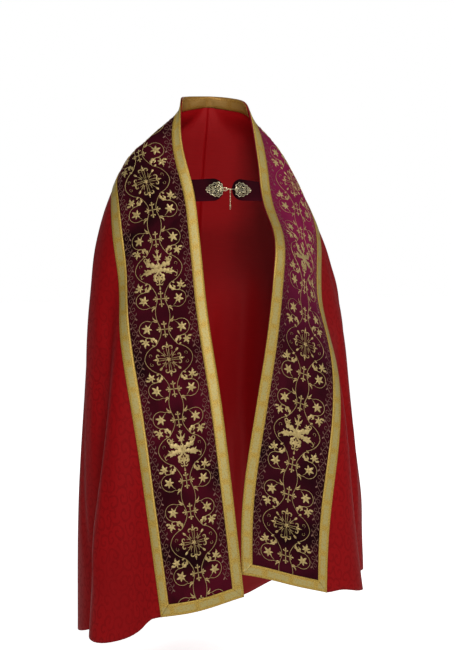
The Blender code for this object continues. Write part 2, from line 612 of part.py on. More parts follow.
def build():
    """All the pieces, in the order they are sewn."""
    for old in list(bpy.data.objects):
        bpy.data.objects.remove(old)
    damask = material("red_damask", (0.30, 0.008, 0.012), 0.62)
    lining = material("dark_red_lining", (0.12, 0.004, 0.006), 0.55)
    velvet = material("burgundy_velvet", (0.045, 0.004, 0.016), 0.85)
    gold = material("gold_galloon", (0.58, 0.42, 0.12), 0.42, 0.35)
    brass = material("pale_brass", (0.62, 0.50, 0.26), 0.32, 1.0)
    half_seam = GAP / 2
    under_braid = BAND_WIDTH - GALLOON_WIDTH
    band = [0.0, GALLOON_WIDTH, BAND_WIDTH / 2, under_braid]
    for side, word in ((RIGHT, "right"), (LEFT, "left")):
        cloth_panel("body_" + word, side, [SEAM_ACROSS + half_seam], True, DAMASK, damask)
        cloth_panel("lining_" + word, side, band + [SEAM_ACROSS], True, LINING, lining)
        cloth_panel("orphrey_" + word, side, band + [SEAM_ACROSS - half_seam], False, VELVET, velvet)
        hem_galloon("galloon_hem_" + word, side, gold)
        add_tab("tab_" + word, side, velvet)
    long_galloon("galloon_front", (0.0, GALLOON_WIDTH), 0.0, gold)
    long_galloon("galloon_outer", (under_braid, SEAM_ACROSS, BAND_WIDTH), BAND_WIDTH, gold)
    half = stations()
    half = half[half < NECK_GALLOON_REACH + GALLOON_WIDTH / 3]
    neck = np.concatenate([-half[:0:-1], half])[:, None] + np.zeros(2)
    strip("galloon_neck", neck, (0.0, GALLOON_WIDTH), NECK_GALLOON, gold)
    eye_plate = add_plate("plate_right", RIGHT, brass)
    fuse(eye_plate, wire("eye_wire", eye_path(), WIRE_RADIUS, True, brass))
    hook_plate = add_plate("plate_left", LEFT, brass)
    fuse(hook_plate, wire("hook_wire", hook_path(), WIRE_RADIUS, False, brass))
    add_drop("chain_drop", brass)


build()
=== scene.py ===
"""A cope in red damask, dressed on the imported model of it.

The cut is drawn flat: 't' runs along the straight edge from the nape, 's' square to it into the cloth,
both in metres. Each flat point is carried onto the hanging cloth. The wearer faces -Y and +Z is up.
"""
from functools import partial
from math import cos, pi, radians, sin

import bpy
import numpy as np
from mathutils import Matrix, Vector


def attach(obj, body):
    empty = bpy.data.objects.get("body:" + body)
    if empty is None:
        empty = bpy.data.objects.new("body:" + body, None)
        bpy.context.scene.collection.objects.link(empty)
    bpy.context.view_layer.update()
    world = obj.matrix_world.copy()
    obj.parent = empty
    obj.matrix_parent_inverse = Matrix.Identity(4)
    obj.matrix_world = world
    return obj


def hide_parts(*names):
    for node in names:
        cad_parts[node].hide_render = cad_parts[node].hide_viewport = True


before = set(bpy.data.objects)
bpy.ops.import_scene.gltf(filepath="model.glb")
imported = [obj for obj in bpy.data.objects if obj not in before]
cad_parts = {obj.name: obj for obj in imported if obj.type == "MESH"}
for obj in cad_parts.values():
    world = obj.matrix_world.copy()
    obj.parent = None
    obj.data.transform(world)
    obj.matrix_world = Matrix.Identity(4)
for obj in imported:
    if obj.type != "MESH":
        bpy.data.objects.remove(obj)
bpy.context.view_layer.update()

# ---- Camera, floor and light --------------------------------------------------------------------
# A portrait view from a little to the wearer's right of centre and slightly above the waist, looking
# down a few degrees. The room is a plain pale studio with a soft light in front, a weak one on the
# wearer's left and a wide one behind.

VIEW_TURN, VIEW_DROP = radians(-12), radians(5.2)
VIEW_RANGE, VIEW_HEIGHT, VIEW_SHIFT = 3.4, -0.30, 0.05
LENS_MM = 70.06
FLOOR_LEVEL, FLOOR_HALF = -1.56, 14


def linear(code):
    """An sRGB hex colour as linear red, green, blue: ((v + 0.055) / 1.055) ** 2.4 above the toe."""
    shade = np.array([int(code[i:i + 2], 16) for i in (1, 3, 5)]) / 255
    return tuple(np.where(shade <= 0.04045, shade / 12.92, ((shade + 0.055) / 1.055) ** 2.4))


def add_node(tree, kind, *inputs, **named):
    """Add a node of this kind, or take the one given, and set it: sockets in order, then by name.

    A name is a property's or a socket's, with '_' for each space. A node or a socket given as a value
    is linked in, and a text is a hex colour.
    """
    node = tree.nodes.new("ShaderNode" + kind) if isinstance(kind, str) else kind
    for key, value in [*enumerate(inputs), *named.items()]:
        if hasattr(node, str(key)):
            setattr(node, key, value)
            continue
        socket = node.inputs[key if isinstance(key, int) else key.replace("_", " ")]
        value = value.outputs[0] if isinstance(value, bpy.types.Node) else value
        if isinstance(value, bpy.types.NodeSocket):
            tree.links.new(value, socket)
        else:
            socket.default_value = (*linear(value), 1) if isinstance(value, str) else value
    return node


def new_material(name):
    """A node material, the function that adds nodes to it, and its surface shader."""
    made = bpy.data.materials.new(name)
    made.use_nodes = True
    return made, partial(add_node, made.node_tree), made.node_tree.nodes["Principled BSDF"]


def add_object(name, data):
    """An object of the scene made from its data."""
    made = bpy.data.objects.new(name, data)
    bpy.context.scene.collection.objects.link(made)
    return made


camera = add_object("camera", bpy.data.cameras.new("camera"))
camera.data.sensor_fit = "VERTICAL"
camera.data.sensor_height = 36
camera.data.lens = LENS_MM
back = Vector((sin(VIEW_TURN), -cos(VIEW_TURN), 0))
beside = Vector((cos(VIEW_TURN), sin(VIEW_TURN), 0))
camera.location = back * VIEW_RANGE + beside * VIEW_SHIFT + Vector((0, 0, VIEW_HEIGHT))
sight = back * cos(VIEW_DROP) + Vector((0, 0, sin(VIEW_DROP)))
camera.rotation_euler = sight.to_track_quat("Z", "Y").to_euler()
bpy.context.scene.camera = camera

for name, spot, aim, size, power, colour in (
        ("softbox_front", (-0.2, -3.9, 1.6), (0, 0, -0.75), 1.4, 117, "#fffaf4"),
        ("softbox_left", (3.4, -1.4, 1.2), (0, 0, -0.5), 1.6, 16, "#ffffff"),
        ("softbox_behind", (0.4, 3.4, 1.4), (0, 0, -0.6), 3.0, 40, "#ffffff")):
    light = add_object(name, bpy.data.lights.new(name, "AREA"))
    light.data.size, light.data.energy, light.data.color = size, power, linear(colour)
    light.location = spot
    light.rotation_euler = (Vector(spot) - Vector(aim)).to_track_quat("Z", "Y").to_euler()

world = bpy.data.worlds.new("white_studio")
world.use_nodes = True
add = partial(add_node, world.node_tree)
sky = add(world.node_tree.nodes["Background"], "#f4f6fa", 0.21)
seen = add("MixShader", add("LightPath").outputs["Is Camera Ray"], sky, add("Background", "#ffffff", 1.0))
add(world.node_tree.nodes["World Output"], seen)
bpy.context.scene.world = world
bpy.context.scene.view_settings.view_transform = "Standard"

floor_mesh = bpy.data.meshes.new("floor")
floor_mesh.from_pydata([(x * FLOOR_HALF, y * FLOOR_HALF, FLOOR_LEVEL)
                        for x, y in ((-1, -1), (1, -1), (1, 1), (-1, 1))], [], [(0, 1, 2, 3)])
floor_finish, add, shader = new_material("pale_floor")
glow = add("MapRange", add("LightPath").outputs["Is Camera Ray"], 0, 1, 0.25, 0.85)
add(shader, Base_Color="#eeeeec", Roughness=0.9, Emission_Color="#ffffff", Emission_Strength=glow)
floor_mesh.materials.append(floor_finish)
add_object("floor", floor_mesh)

# ---- Body: two damask halves ---------------------------------------------------------------------
# A real cope's body is close to half a circle of damask, seamed down the centre back. It hangs from
# the shoulders in deep folds that widen towards the hem. Its straight edge is sewn to the bands.

FRONT_LENGTH = 1.42
BAND_WIDTH = 0.230
GALLOON_WIDTH = 0.029
SEAM_ACROSS = 0.2155
SHOULDER_RUN = 0.34
NECK_RADIUS = 0.088
NECK_QUARTER = 0.14
GAP = 0.0003
DAMASK = (0.0, 0.0012)
RIGHT, LEFT = -1, 1        # the wearer's own sides; the right is at -X
SIDES = ((RIGHT, "right"), (LEFT, "left"))
NECK_DROP = {RIGHT: 0.0125, LEFT: 0.025}  # fall of the collar's edge from nape to side of neck

# level outlines of the hanging cloth, a row for each distance from the nape
# distance  middle_y  half_right  half_left  front_right  front_left  back
OUTLINES = np.array([
    (0.00, -0.088, 0.088, 0.088, 0.088, 0.088, 0.088),
    (0.05, -0.080, 0.119, 0.098, 0.085, 0.085, 0.092),
    (0.10, -0.068, 0.146, 0.116, 0.080, 0.080, 0.098),
    (0.14, -0.058, 0.163, 0.130, 0.075, 0.075, 0.106),
    (0.19, -0.050, 0.181, 0.152, 0.075, 0.075, 0.118),
    (0.25, -0.045, 0.205, 0.184, 0.088, 0.090, 0.135),
    (0.32, -0.040, 0.240, 0.221, 0.120, 0.125, 0.155),
    (0.43, -0.035, 0.280, 0.268, 0.146, 0.165, 0.176),
    (0.51, -0.030, 0.299, 0.304, 0.166, 0.190, 0.188),
    (0.69, -0.030, 0.322, 0.342, 0.195, 0.250, 0.212),
    (0.94, -0.030, 0.333, 0.366, 0.280, 0.325, 0.250),
    (1.19, -0.030, 0.343, 0.390, 0.345, 0.350, 0.292),
    (1.60, -0.030, 0.340, 0.420, 0.395, 0.345, 0.345)])

# the front edge seen from above, a row for each distance along it: distance, x, y
EDGES = {RIGHT: np.array([
    (0.140, -0.0880, -0.088), (0.190, -0.0930, -0.104), (0.236, -0.0955, -0.121),
    (0.286, -0.0925, -0.140), (0.321, -0.0875, -0.155), (0.382, -0.0745, -0.170),
    (0.509, -0.0617, -0.190), (0.688, -0.0490, -0.220), (0.941, -0.0210, -0.270),
    (1.187, 0.0000, -0.312), (1.600, 0.0380, -0.350)]), LEFT: np.array([
    (0.140, 0.0860, -0.086), (0.205, 0.0950, -0.105), (0.264, 0.0975, -0.130),
    (0.322, 0.0995, -0.155), (0.377, 0.0985, -0.178), (0.435, 0.0995, -0.213),
    (0.490, 0.1030, -0.255), (0.545, 0.1040, -0.299), (0.600, 0.0990, -0.335),
    (0.660, 0.0910, -0.350), (0.740, 0.0860, -0.342), (0.850, 0.0770, -0.324),
    (0.980, 0.0600, -0.310), (1.234, 0.0240, -0.309), (1.600, 0.0210, -0.330)])}

# the largest folds: distance from the nape where each begins, its direction in the cut there and at
# the hem (degrees from the front edge), half width (degrees) and height at the hem (- is a valley)
FOLDS = {RIGHT: (
    (0.60, 17, 22, 8.0, 0.062), (0.36, 19, 31, 6.0, -0.064), (0.50, 34, 43, 9.0, 0.020),
    (0.50, 50, 56, 6.5, -0.046), (0.50, 63, 66, 8.0, 0.044), (0.45, 77, 78, 8.0, -0.044),
    (0.50, 90, 90, 8.0, 0.042)), LEFT: (
    (0.55, 13, 16.5, 8.0, 0.034), (0.60, 18, 26, 6.0, -0.060), (0.50, 28, 37, 8.0, 0.010),
    (0.50, 46, 52, 7.0, -0.046), (0.50, 62, 65, 8.0, 0.044), (0.45, 77, 78, 8.0, -0.044),
    (0.50, 90, 90, 8.0, 0.042))}
FOLD_RUN = 1.42            # distance from the nape at which a fold has its full height
SLACK = 0.14               # share of each step that always goes into the drop, past SLACK_FROM
SLACK_FROM = 25            # degrees from the front edge
LEAST_DROP = 0.03          # smallest share of a step that goes into the drop anywhere
SQUARENESS = 0.25          # how far level outlines pass from ellipses towards rectangles
SQUARE_FROM = 0.4          # distance at which they have all of it
BAND_EASE = 0.25           # stretch below the shoulders over which the band takes up ease
LONGEST_PULL = 0.75        # share of an outline, at most, that is drawn over to the straight edge
LEAST_ALONG = 0.05         # smallest share of a stretch of cloth that goes along its outline

# the hem: direction in the cut (degrees), distance from the nape
HEMS = {RIGHT: np.array([
    (0.0, 1.420), (9.2, 1.4385), (11, 1.448), (14, 1.483), (17, 1.510), (20.5, 1.526), (24, 1.521),
    (27, 1.506), (31, 1.515), (37, 1.542), (60, 1.532), (90, 1.500)]), LEFT: np.array([
    (0.0, 1.420), (9.2, 1.4385), (12, 1.431), (16, 1.440), (20, 1.440), (25, 1.428), (34, 1.420),
    (42, 1.430), (60, 1.460), (90, 1.500)])}

# lesser creases, each a line in the cut from (t, s) to (t, s), with half width and height; each bows
# sideways by CREASE_BOW at its middle, and fades in from CREASE_EARLY before it over CREASE_FADE
CREASE_BOW, CREASE_EARLY, CREASE_FADE = 0.018, 0.06, 0.16
CREASES = {RIGHT: (
    (0.62, 0.33, 1.30, 0.52, 0.030, 0.006), (0.50, 0.42, 1.10, 0.80, 0.028, -0.007),
    (0.34, 0.40, 0.80, 0.92, 0.034, 0.008), (0.30, 0.55, 0.62, 1.20, 0.030, -0.006),
    (0.12, 0.48, 0.30, 1.32, 0.036, 0.008), (0.05, 0.60, 0.10, 1.30, 0.028, -0.005),
    (0.80, 0.48, 1.28, 0.78, 0.024, 0.005), (0.55, 0.75, 0.95, 1.16, 0.026, 0.006),
    (0.16, 0.95, 0.22, 1.46, 0.026, -0.006), (0.95, 0.34, 1.36, 0.42, 0.020, -0.004),
    (0.14, 0.26, 0.34, 0.46, 0.030, -0.004), (0.24, 0.24, 0.50, 0.36, 0.026, 0.004)), LEFT: (
    (0.66, 0.30, 1.22, 0.46, 0.028, -0.006), (0.52, 0.40, 1.06, 0.74, 0.030, 0.008),
    (0.40, 0.36, 0.86, 0.84, 0.030, -0.007), (0.28, 0.52, 0.66, 1.12, 0.032, 0.008),
    (0.14, 0.50, 0.34, 1.30, 0.034, -0.007), (0.04, 0.56, 0.12, 1.26, 0.030, 0.006),
    (0.86, 0.44, 1.24, 0.68, 0.022, 0.005), (0.58, 0.70, 0.90, 1.08, 0.026, -0.005),
    (0.20, 0.92, 0.28, 1.38, 0.026, 0.006), (0.18, 0.28, 0.40, 0.50, 0.028, 0.004),
    (0.46, 0.25, 0.66, 0.40, 0.022, -0.004), (0.50, 0.30, 0.60, 0.62, 0.020, 0.004))}

# how the hanging is worked out: its steps, and the passes and shares of its smoothing
RING_STEP, RAYS, OUTLINE_POINTS, NAPE_RINGS = 0.005, 181, 500, 5
SETTLING, LEAST_SETTLING = 64, 0.25
SETTLED = (0.10, 0.20, 0.42, 0.75)
CORNER_SETTLED = 0.03


def through(rows, values, at):
    """Smooth curve through a table's rows: cubic pieces whose slopes follow the neighbouring rows."""
    step = np.diff(rows)
    rise = np.diff(values) / step
    inner = (rise[:-1] * step[1:] + rise[1:] * step[:-1]) / (step[:-1] + step[1:])
    slope = np.concatenate([rise[:1], inner, rise[-1:]])
    at = np.clip(at, rows[0], rows[-1])
    k = np.clip(np.searchsorted(rows, at, side="right") - 1, 0, len(rows) - 2)
    u = (at - rows[k]) / step[k]
    ends = values[k] * (1 + 2 * u) * (1 - u) ** 2 + values[k + 1] * u * u * (3 - 2 * u)
    return ends + step[k] * (slope[k] * u * (1 - u) ** 2 - slope[k + 1] * u * u * (1 - u))


def soft_step(u):
    """0 to 1 with level ends."""
    u = np.clip(u, 0, 1)
    return u * u * (3 - 2 * u)


def edge_in_plan(side, distance):
    """The straight edge seen from above: round the neck first, then down the front.

    The collar's edge falls as a parabola from the nape, so its run in plan is a little shorter.
    """
    if distance < NECK_QUARTER:
        slope = 2 * NECK_DROP[side] * distance / NECK_QUARTER ** 2
        turn = distance * (1 - slope ** 2 / 6) / NECK_RADIUS
        return side * NECK_RADIUS * sin(turn), -NECK_RADIUS * (1 - cos(turn))
    table = EDGES[side]
    return tuple(float(through(table[:, 0], table[:, c], distance)) for c in (1, 2))


def outline_at(side, distance):
    """One level outline from the front edge to the centre back, with its length so far."""
    wanted = {RIGHT: (1, 2, 4, 6), LEFT: (1, 3, 5, 6)}[side]
    middle, half, front, back = [float(through(OUTLINES[:, 0], OUTLINES[:, c], distance)) for c in wanted]
    edge = edge_in_plan(side, distance)
    first = np.arctan2(side * edge[0], middle - edge[1])
    angle = np.linspace(first, pi, OUTLINE_POINTS)
    power = 2 + SQUARENESS * min(distance / SQUARE_FROM, 1)
    depth = np.where(np.cos(angle) > 0, front, back)
    aside, ahead = np.abs(np.sin(angle)) / half, np.abs(np.cos(angle)) / depth
    radius = (aside ** power + ahead ** power) ** (-1 / power)
    line = np.stack([side * radius * np.sin(angle), middle - radius * np.cos(angle)], 1)
    length = run_along(line)
    pull = soft_step(1 - length / min(BAND_WIDTH, LONGEST_PULL * length[-1]))
    line = line + (np.array(edge) - line[0]) * pull[:, None]
    return line, run_along(line), middle


def run_along(line):
    """Length along a line up to each of its points."""
    return np.append(0, np.cumsum(np.hypot.reduce(np.diff(line, axis=0), axis=1)))


def unit(vectors):
    """Vectors of the same directions, each one long."""
    return vectors / np.maximum(np.linalg.norm(vectors, axis=-1, keepdims=True), 1e-12)


def share_out(distance, rays, heights, length):
    """Where each ray of the cut meets an outline: the band keeps its width, the body takes the rest."""
    flat = distance * np.diff(rays)
    along = np.sqrt(np.maximum(flat ** 2 - np.diff(heights) ** 2, (LEAST_ALONG * flat) ** 2))
    along = np.concatenate([[0], np.cumsum(along)])
    band = np.interp(np.arcsin(min(BAND_WIDTH / distance, 1)), rays, along)
    near_neck = soft_step(1 - (distance - BAND_WIDTH) / BAND_EASE)
    band_scale = 1 + (length / along[-1] - 1) * near_neck
    rest_scale = (length - band * band_scale) / max(along[-1] - band, 1e-9)
    return np.where(along < band, along * band_scale, band * band_scale + (along - band) * rest_scale)


def add_folds(side, distance, rays, plan, middle):
    """Push the outline out at ridges and in at valleys, more towards the hem."""
    tangent = np.gradient(plan, axis=0)
    normal = np.stack([tangent[:, 1], -tangent[:, 0]], 1)
    normal /= np.linalg.norm(normal, axis=1, keepdims=True) + 1e-12
    outward = np.sign(np.sum(normal * (plan - np.array([0, middle])), axis=1))
    for start, first, last, half_width, height in FOLDS[side]:
        if distance > start:
            grown = (distance - start) / (FOLD_RUN - start)
            direction = first + (last - first) * grown
            bump = np.clip(1 - ((np.degrees(rays) - direction) / half_width) ** 2, 0, None) ** 2
            plan = plan + normal * (outward * bump * height * grown)[:, None]
    return plan


def hang(side):
    """Points of the hanging cloth on rings about the nape: plan from the outlines, height from length.

    Ring by ring, every ray of the cut moves to its place on the next outline and drops by what is
    left of the cloth's own length, so the cloth keeps its size on the way down.
    """
    rays = np.linspace(0, pi / 2, RAYS)
    distances = np.arange(0, HEMS[side][:, 1].max() + 2 * RING_STEP, RING_STEP)
    cloth = np.zeros((len(distances), RAYS, 3))
    slowest = 1 - SLACK * np.clip(np.degrees(rays) / SLACK_FROM, 0, 1)
    for k in range(1, len(distances)):
        distance = distances[k]
        heights = cloth[k - 1, :, 2] * distance / distances[k - 1] if k > 1 else -distance * np.sin(rays)
        line, length, middle = outline_at(side, distance)
        place = share_out(distance, rays, heights, length[-1])
        plan = np.stack([np.interp(place, length, line[:, c]) for c in (0, 1)], 1)
        plan = add_folds(side, distance, rays, plan, middle)
        move = plan - cloth[k - 1, :, :2]
        size = np.hypot(move[:, 0], move[:, 1]) + 1e-12
        move *= np.minimum(1, slowest * RING_STEP / size)[:, None]
        cloth[k, :, :2] = cloth[k - 1, :, :2] + move
        drop = np.sqrt(np.maximum(RING_STEP ** 2 - np.sum(move ** 2, axis=1), (LEAST_DROP * RING_STEP) ** 2))
        cloth[k, :, 2] = cloth[k - 1, :, 2] - drop
    return settle(cloth)


def settle(cloth):
    """Ease out the smallest kinks, as a lined cloth's stiffness does, without moving its edges."""
    distance = np.arange(len(cloth)) * RING_STEP
    start, full, fade, end = SETTLED
    over_shoulder = (soft_step((distance - start) / (full - start))
                     * soft_step((end - distance) / (end - fade)))
    off_edge = soft_step(np.linspace(0, 10, RAYS))
    corner = np.exp(-((distance - NECK_QUARTER) / CORNER_SETTLED) ** 2)
    share = np.maximum(over_shoulder[:, None] * off_edge, corner[:, None])
    share = (LEAST_SETTLING + (1 - LEAST_SETTLING) * share)[..., None]
    for _ in range(SETTLING):
        along = (cloth[:-2] + cloth[2:]) / 2 - cloth[1:-1]
        cloth[1:-1] += along * share[1:-1] / 2
        mirror = cloth[:, -2] * np.array([-1, 1, 1])
        across = (cloth[:, :-2] + cloth[:, 2:]) / 2 - cloth[:, 1:-1]
        cloth[:, -1] += ((cloth[:, -2] + mirror) / 2 - cloth[:, -1]) * share[:, -1] / 2
        cloth[:, 1:-1] += across * share[:, 1:-1] / 2
        cloth[:, -1, 0] = 0
    return cloth


def outward_normals(side, cloth):
    """Unit normals of the ringed cloth, pointing away from the wearer."""
    normal = np.cross(np.gradient(cloth, axis=0), np.gradient(cloth, axis=1)) * side
    normal[:NAPE_RINGS] = normal[NAPE_RINGS]
    return unit(normal)


def crease(side, cloth, normals):
    """Soft troughs and ridges: height x exp(-(offset / half width) ** 2), fading at both ends."""
    ring = np.arange(len(cloth))[:, None] * RING_STEP
    ray = np.linspace(0, pi / 2, RAYS)[None]
    t, s = ring * np.cos(ray), ring * np.sin(ray)
    lift = np.zeros_like(t * s)
    for t0, s0, t1, s1, half_width, height in CREASES[side]:
        length = np.hypot(t1 - t0, s1 - s0)
        along = ((t - t0) * (t1 - t0) + (s - s0) * (s1 - s0)) / length
        bend = CREASE_BOW * np.sin(along / length * pi)
        offset = ((s - s0) * (t1 - t0) - (t - t0) * (s1 - s0)) / length - bend
        fade = (soft_step((along + CREASE_EARLY) / CREASE_FADE)
                * soft_step((length + CREASE_EARLY - along) / CREASE_FADE))
        lift += height * fade * np.exp(-(offset / half_width) ** 2)
    return cloth + normals * lift[..., None]


HANGING, NORMALS = {}, {}
for side in (RIGHT, LEFT):
    smooth = hang(side)
    HANGING[side] = crease(side, smooth, outward_normals(side, smooth))
    NORMALS[side] = outward_normals(side, HANGING[side])


def on_cloth(side, t, s, lift=0.0):
    """Carry flat points (t along the straight edge, s into the cloth) onto the hanging cloth."""
    t, s = np.broadcast_arrays(np.asarray(t, float), np.asarray(s, float))
    ring = np.hypot(t, s) / RING_STEP
    ray = np.arctan2(s, t) / (pi / 2) * (RAYS - 1)
    k = np.clip(ring.astype(int), 0, len(HANGING[side]) - 2)
    j = np.clip(ray.astype(int), 0, RAYS - 2)
    u, v = (ring - k)[..., None], (ray - j)[..., None]

    def blend(field):
        return ((field[k, j] * (1 - u) + field[k + 1, j] * u) * (1 - v)
                + (field[k, j + 1] * (1 - u) + field[k + 1, j + 1] * u) * v)
    return blend(HANGING[side]) + unit(blend(NORMALS[side])) * np.asarray(lift)[..., None]


def on_both(t, s, lift=0.0):
    """The same for a piece that runs round the nape: t is negative on the wearer's right."""
    t, s = np.broadcast_arrays(np.asarray(t, float), np.asarray(s, float))
    right = on_cloth(RIGHT, np.abs(t), s, lift)
    left = on_cloth(LEFT, np.abs(t), s, lift)
    point = np.where((t < 0)[..., None], right, left)
    at_back = np.abs(t) < 1e-9
    point[at_back] = (right[at_back] + left[at_back]) / 2
    return point


def numbered(points):
    """The numbers of a grid's points, in their order in the mesh."""
    return np.arange(points[..., 0].size).reshape(points.shape[:-1])


def grid_triangles(index, closed=False):
    """Two triangles for every cell of a grid of point numbers; 'closed' joins each row's two ends."""
    if closed:
        index = np.concatenate([index, index[..., :1]], -1)
    a, b = index[..., :-1, :-1], index[..., 1:, :-1]
    c, d = index[..., 1:, 1:], index[..., :-1, 1:]
    return np.concatenate([np.stack(corners, -1).reshape(-1, 3) for corners in ((a, b, c), (a, c, d))])


def stations(shoulder, front):
    """Places along the straight edge: 'shoulder' even steps round the neck, then 'front' wider ones."""
    down = (np.arange(1, front + 1) / front) ** 1.15 * (FRONT_LENGTH - SHOULDER_RUN)
    return np.append(np.linspace(0, SHOULDER_RUN, shoulder + 1), SHOULDER_RUN + down)


def body_patch(side, across, shoulder, front):
    """Flat points of the body as a Coons patch: straight edge and front on two sides, hem and back."""
    t = stations(shoulder, front)
    rows = (t[shoulder:] - SHOULDER_RUN) / (FRONT_LENGTH - SHOULDER_RUN)
    columns = np.linspace(0, 1, shoulder + 1)
    first = np.degrees(np.arctan2(across, FRONT_LENGTH))
    turn = first + (90 - first) * columns
    reach = through(HEMS[side][:, 0], HEMS[side][:, 1], turn)
    reach[0] = np.hypot(FRONT_LENGTH, across)
    hem = np.stack([reach * np.cos(np.radians(turn)), reach * np.sin(np.radians(turn))], 1)
    hem[-1, 0] = 0
    top = np.stack([SHOULDER_RUN * (1 - columns), np.full_like(columns, across)], 1)
    down = np.stack([t[shoulder:], np.full_like(rows, across)], 1)
    back = np.stack([np.zeros_like(rows), across + (reach[-1] - across) * rows], 1)
    c, v = columns[None, :, None], rows[:, None, None]
    corners = (1 - v) * ((1 - c) * top[0] + c * top[-1]) + v * ((1 - c) * hem[0] + c * hem[-1])
    return (1 - v) * top[None] + v * hem[None] + (1 - c) * down[:, None] + c * back[:, None] - corners


def add_mesh(name, points, faces, uv, finish):
    """A smooth mesh piece from arrays, with its UV map in metres."""
    mesh = bpy.data.meshes.new(name)
    faces = np.asarray(faces, dtype=np.int32)
    mesh.vertices.add(len(points))
    mesh.vertices.foreach_set("co", np.asarray(points, dtype=np.float32).ravel())
    mesh.loops.add(faces.size)
    mesh.loops.foreach_set("vertex_index", faces.ravel())
    mesh.polygons.add(len(faces))
    mesh.polygons.foreach_set("loop_start", np.arange(len(faces), dtype=np.int32) * faces.shape[1])
    mesh.polygons.foreach_set("use_smooth", np.ones(len(faces), dtype=bool))
    mesh.update(calc_edges=True)
    layer = mesh.uv_layers.new(name="cut")
    layer.data.foreach_set("uv", np.asarray(uv, dtype=np.float32)[faces.ravel()].ravel())
    mesh.materials.append(finish)
    return add_object(name, mesh)


def add_wall(name, inner, outer, uv, finish, faces=None):
    """A closed thin wall: the outer skin faces away from the inner, and a rim joins their open edges."""
    faces = grid_triangles(numbered(uv)) if faces is None else faces
    inner, outer, uv = inner.reshape(-1, 3), outer.reshape(-1, 3), uv.reshape(-1, 2)
    a, b, c = (outer[faces[:, k]] for k in range(3))
    if np.sum(np.cross(b - a, c - a) * (outer - inner)[faces[:, 0]]) < 0:
        faces = faces[:, ::-1]
    edges = np.concatenate([faces[:, [0, 1]], faces[:, [1, 2]], faces[:, [2, 0]]])
    _, first, uses = np.unique(np.sort(edges, axis=1), axis=0, return_index=True, return_counts=True)
    rim = edges[first[uses == 1]]
    n = len(outer)
    rim = np.concatenate([np.stack([rim[:, 1], rim[:, 0], rim[:, 0] + n], 1),
                          np.stack([rim[:, 1], rim[:, 0] + n, rim[:, 1] + n], 1)])
    faces = np.concatenate([faces, faces[:, ::-1] + n, rim])
    return add_mesh(name, np.concatenate([outer, inner]), faces, np.concatenate([uv, uv]), finish)


def damask_finish():
    """Red damask: matt scrolls on a satin ground of the same red, each curl about 40 mm across.

    Woven in one colour, so the eye sees the pattern only by its shine, darker or brighter than the
    ground as the cloth turns. Ribs of the weave are drawn at 3.2 mm, coarser than the real 0.4 mm.
    """
    finish, add, shader = new_material("red_damask")
    cut = add("UVMap", uv_map="cut")
    wavy = add("TexNoise", cut, Scale=16.0, Detail=1.0)
    bent = add("VectorMath", wavy.outputs["Color"], (0.030, 0.030, 0), cut, operation="MULTIPLY_ADD")
    cells = add("TexVoronoi", bent, voronoi_dimensions="2D", Scale=25.0, Randomness=0.5)
    # a spiral in each cell, sin(angle + 13 x distance in cells), turned and mirrored at random
    inside = add("VectorMath", bent, cells.outputs["Position"], operation="SUBTRACT")
    along, across, _ = add("SeparateXYZ", inside).outputs
    turned, mirrored, _ = add("SeparateXYZ", cells.outputs["Color"]).outputs
    hand = add("Math", add("Math", mirrored, 0.5, operation="SUBTRACT"), operation="SIGN")
    angle = add("Math", add("Math", across, hand, operation="MULTIPLY"), along, operation="ARCTAN2")
    angle = add("Math", turned, 2 * pi, angle, operation="MULTIPLY_ADD")
    winding = add("Math", cells.outputs["Distance"], 13.0, angle, operation="MULTIPLY_ADD")
    spiral = add("Math", winding, operation="SINE")
    leafy = add("TexNoise", bent, Scale=110.0, Detail=2.0)
    scroll = add("MapRange", add("Math", leafy, 1.8, spiral, operation="MULTIPLY_ADD"), 1.25, 1.6)
    # painted sheen: the ground's brighter and darker patches, laid at random, stand in for the satin's shine;
    # the scrolls keep one red
    patches = add("TexNoise", cut, Scale=3.0, Detail=3.0)
    ground = add("MixRGB", patches, "#740408", "#960a0e")
    ribs = add("TexWave", cut, Scale=98.0, Distortion=0.6, Detail=1.0, bands_direction="Y").outputs["Fac"]
    add(shader, Base_Color=add("MixRGB", scroll, ground, "#7c0509"),
        Roughness=add("MapRange", scroll, 0, 1, 0.55, 0.62),
        Normal=add("Bump", Strength=0.12, Distance=0.0003, Height=ribs),
        Sheen_Weight=0.03, Sheen_Roughness=0.5, Sheen_Tint="#c8141a", Specular_IOR_Level=0.08)
    return finish


BODY_SHOULDER, BODY_FRONT = 110, 130
damask = damask_finish()
for side, word in SIDES:
    flat = body_patch(side, SEAM_ACROSS + GAP / 2, BODY_SHOULDER, BODY_FRONT)
    skins = [on_cloth(side, flat[..., 0], flat[..., 1], lift) for lift in DAMASK]
    for skin in skins:
        skin[:, -1, 0] = side * GAP / 2
    body = add_wall("damask_body_" + word, *skins, flat, damask)
    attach(body, "cope")
    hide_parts("body_" + word)

# ---- Lining: two dark red halves -----------------------------------------------------------------
# A plain satin lining is cut to the body and the bands together and bagged out behind them. It shows
# at the neck, inside the fronts, and from below.

LINING = (-0.0013, -0.0003)


def lining_finish():
    """Dark red satin: smooth, with a soft shine and faint slubs, drawn 2.4 mm wide and 40 mm long."""
    finish, add, shader = new_material("dark_red_lining")
    stretched = add("Mapping", add("UVMap", uv_map="cut"), Scale=(24, 420, 1))
    slubs = add("TexNoise", stretched, Scale=1.0, Detail=2.0)
    add(shader, Base_Color=add("MixRGB", slubs, "#8e060c", "#a80a11"), Roughness=0.5,
        Normal=add("Bump", Strength=0.15, Distance=0.0004, Height=slubs), Specular_IOR_Level=0.2)
    return finish


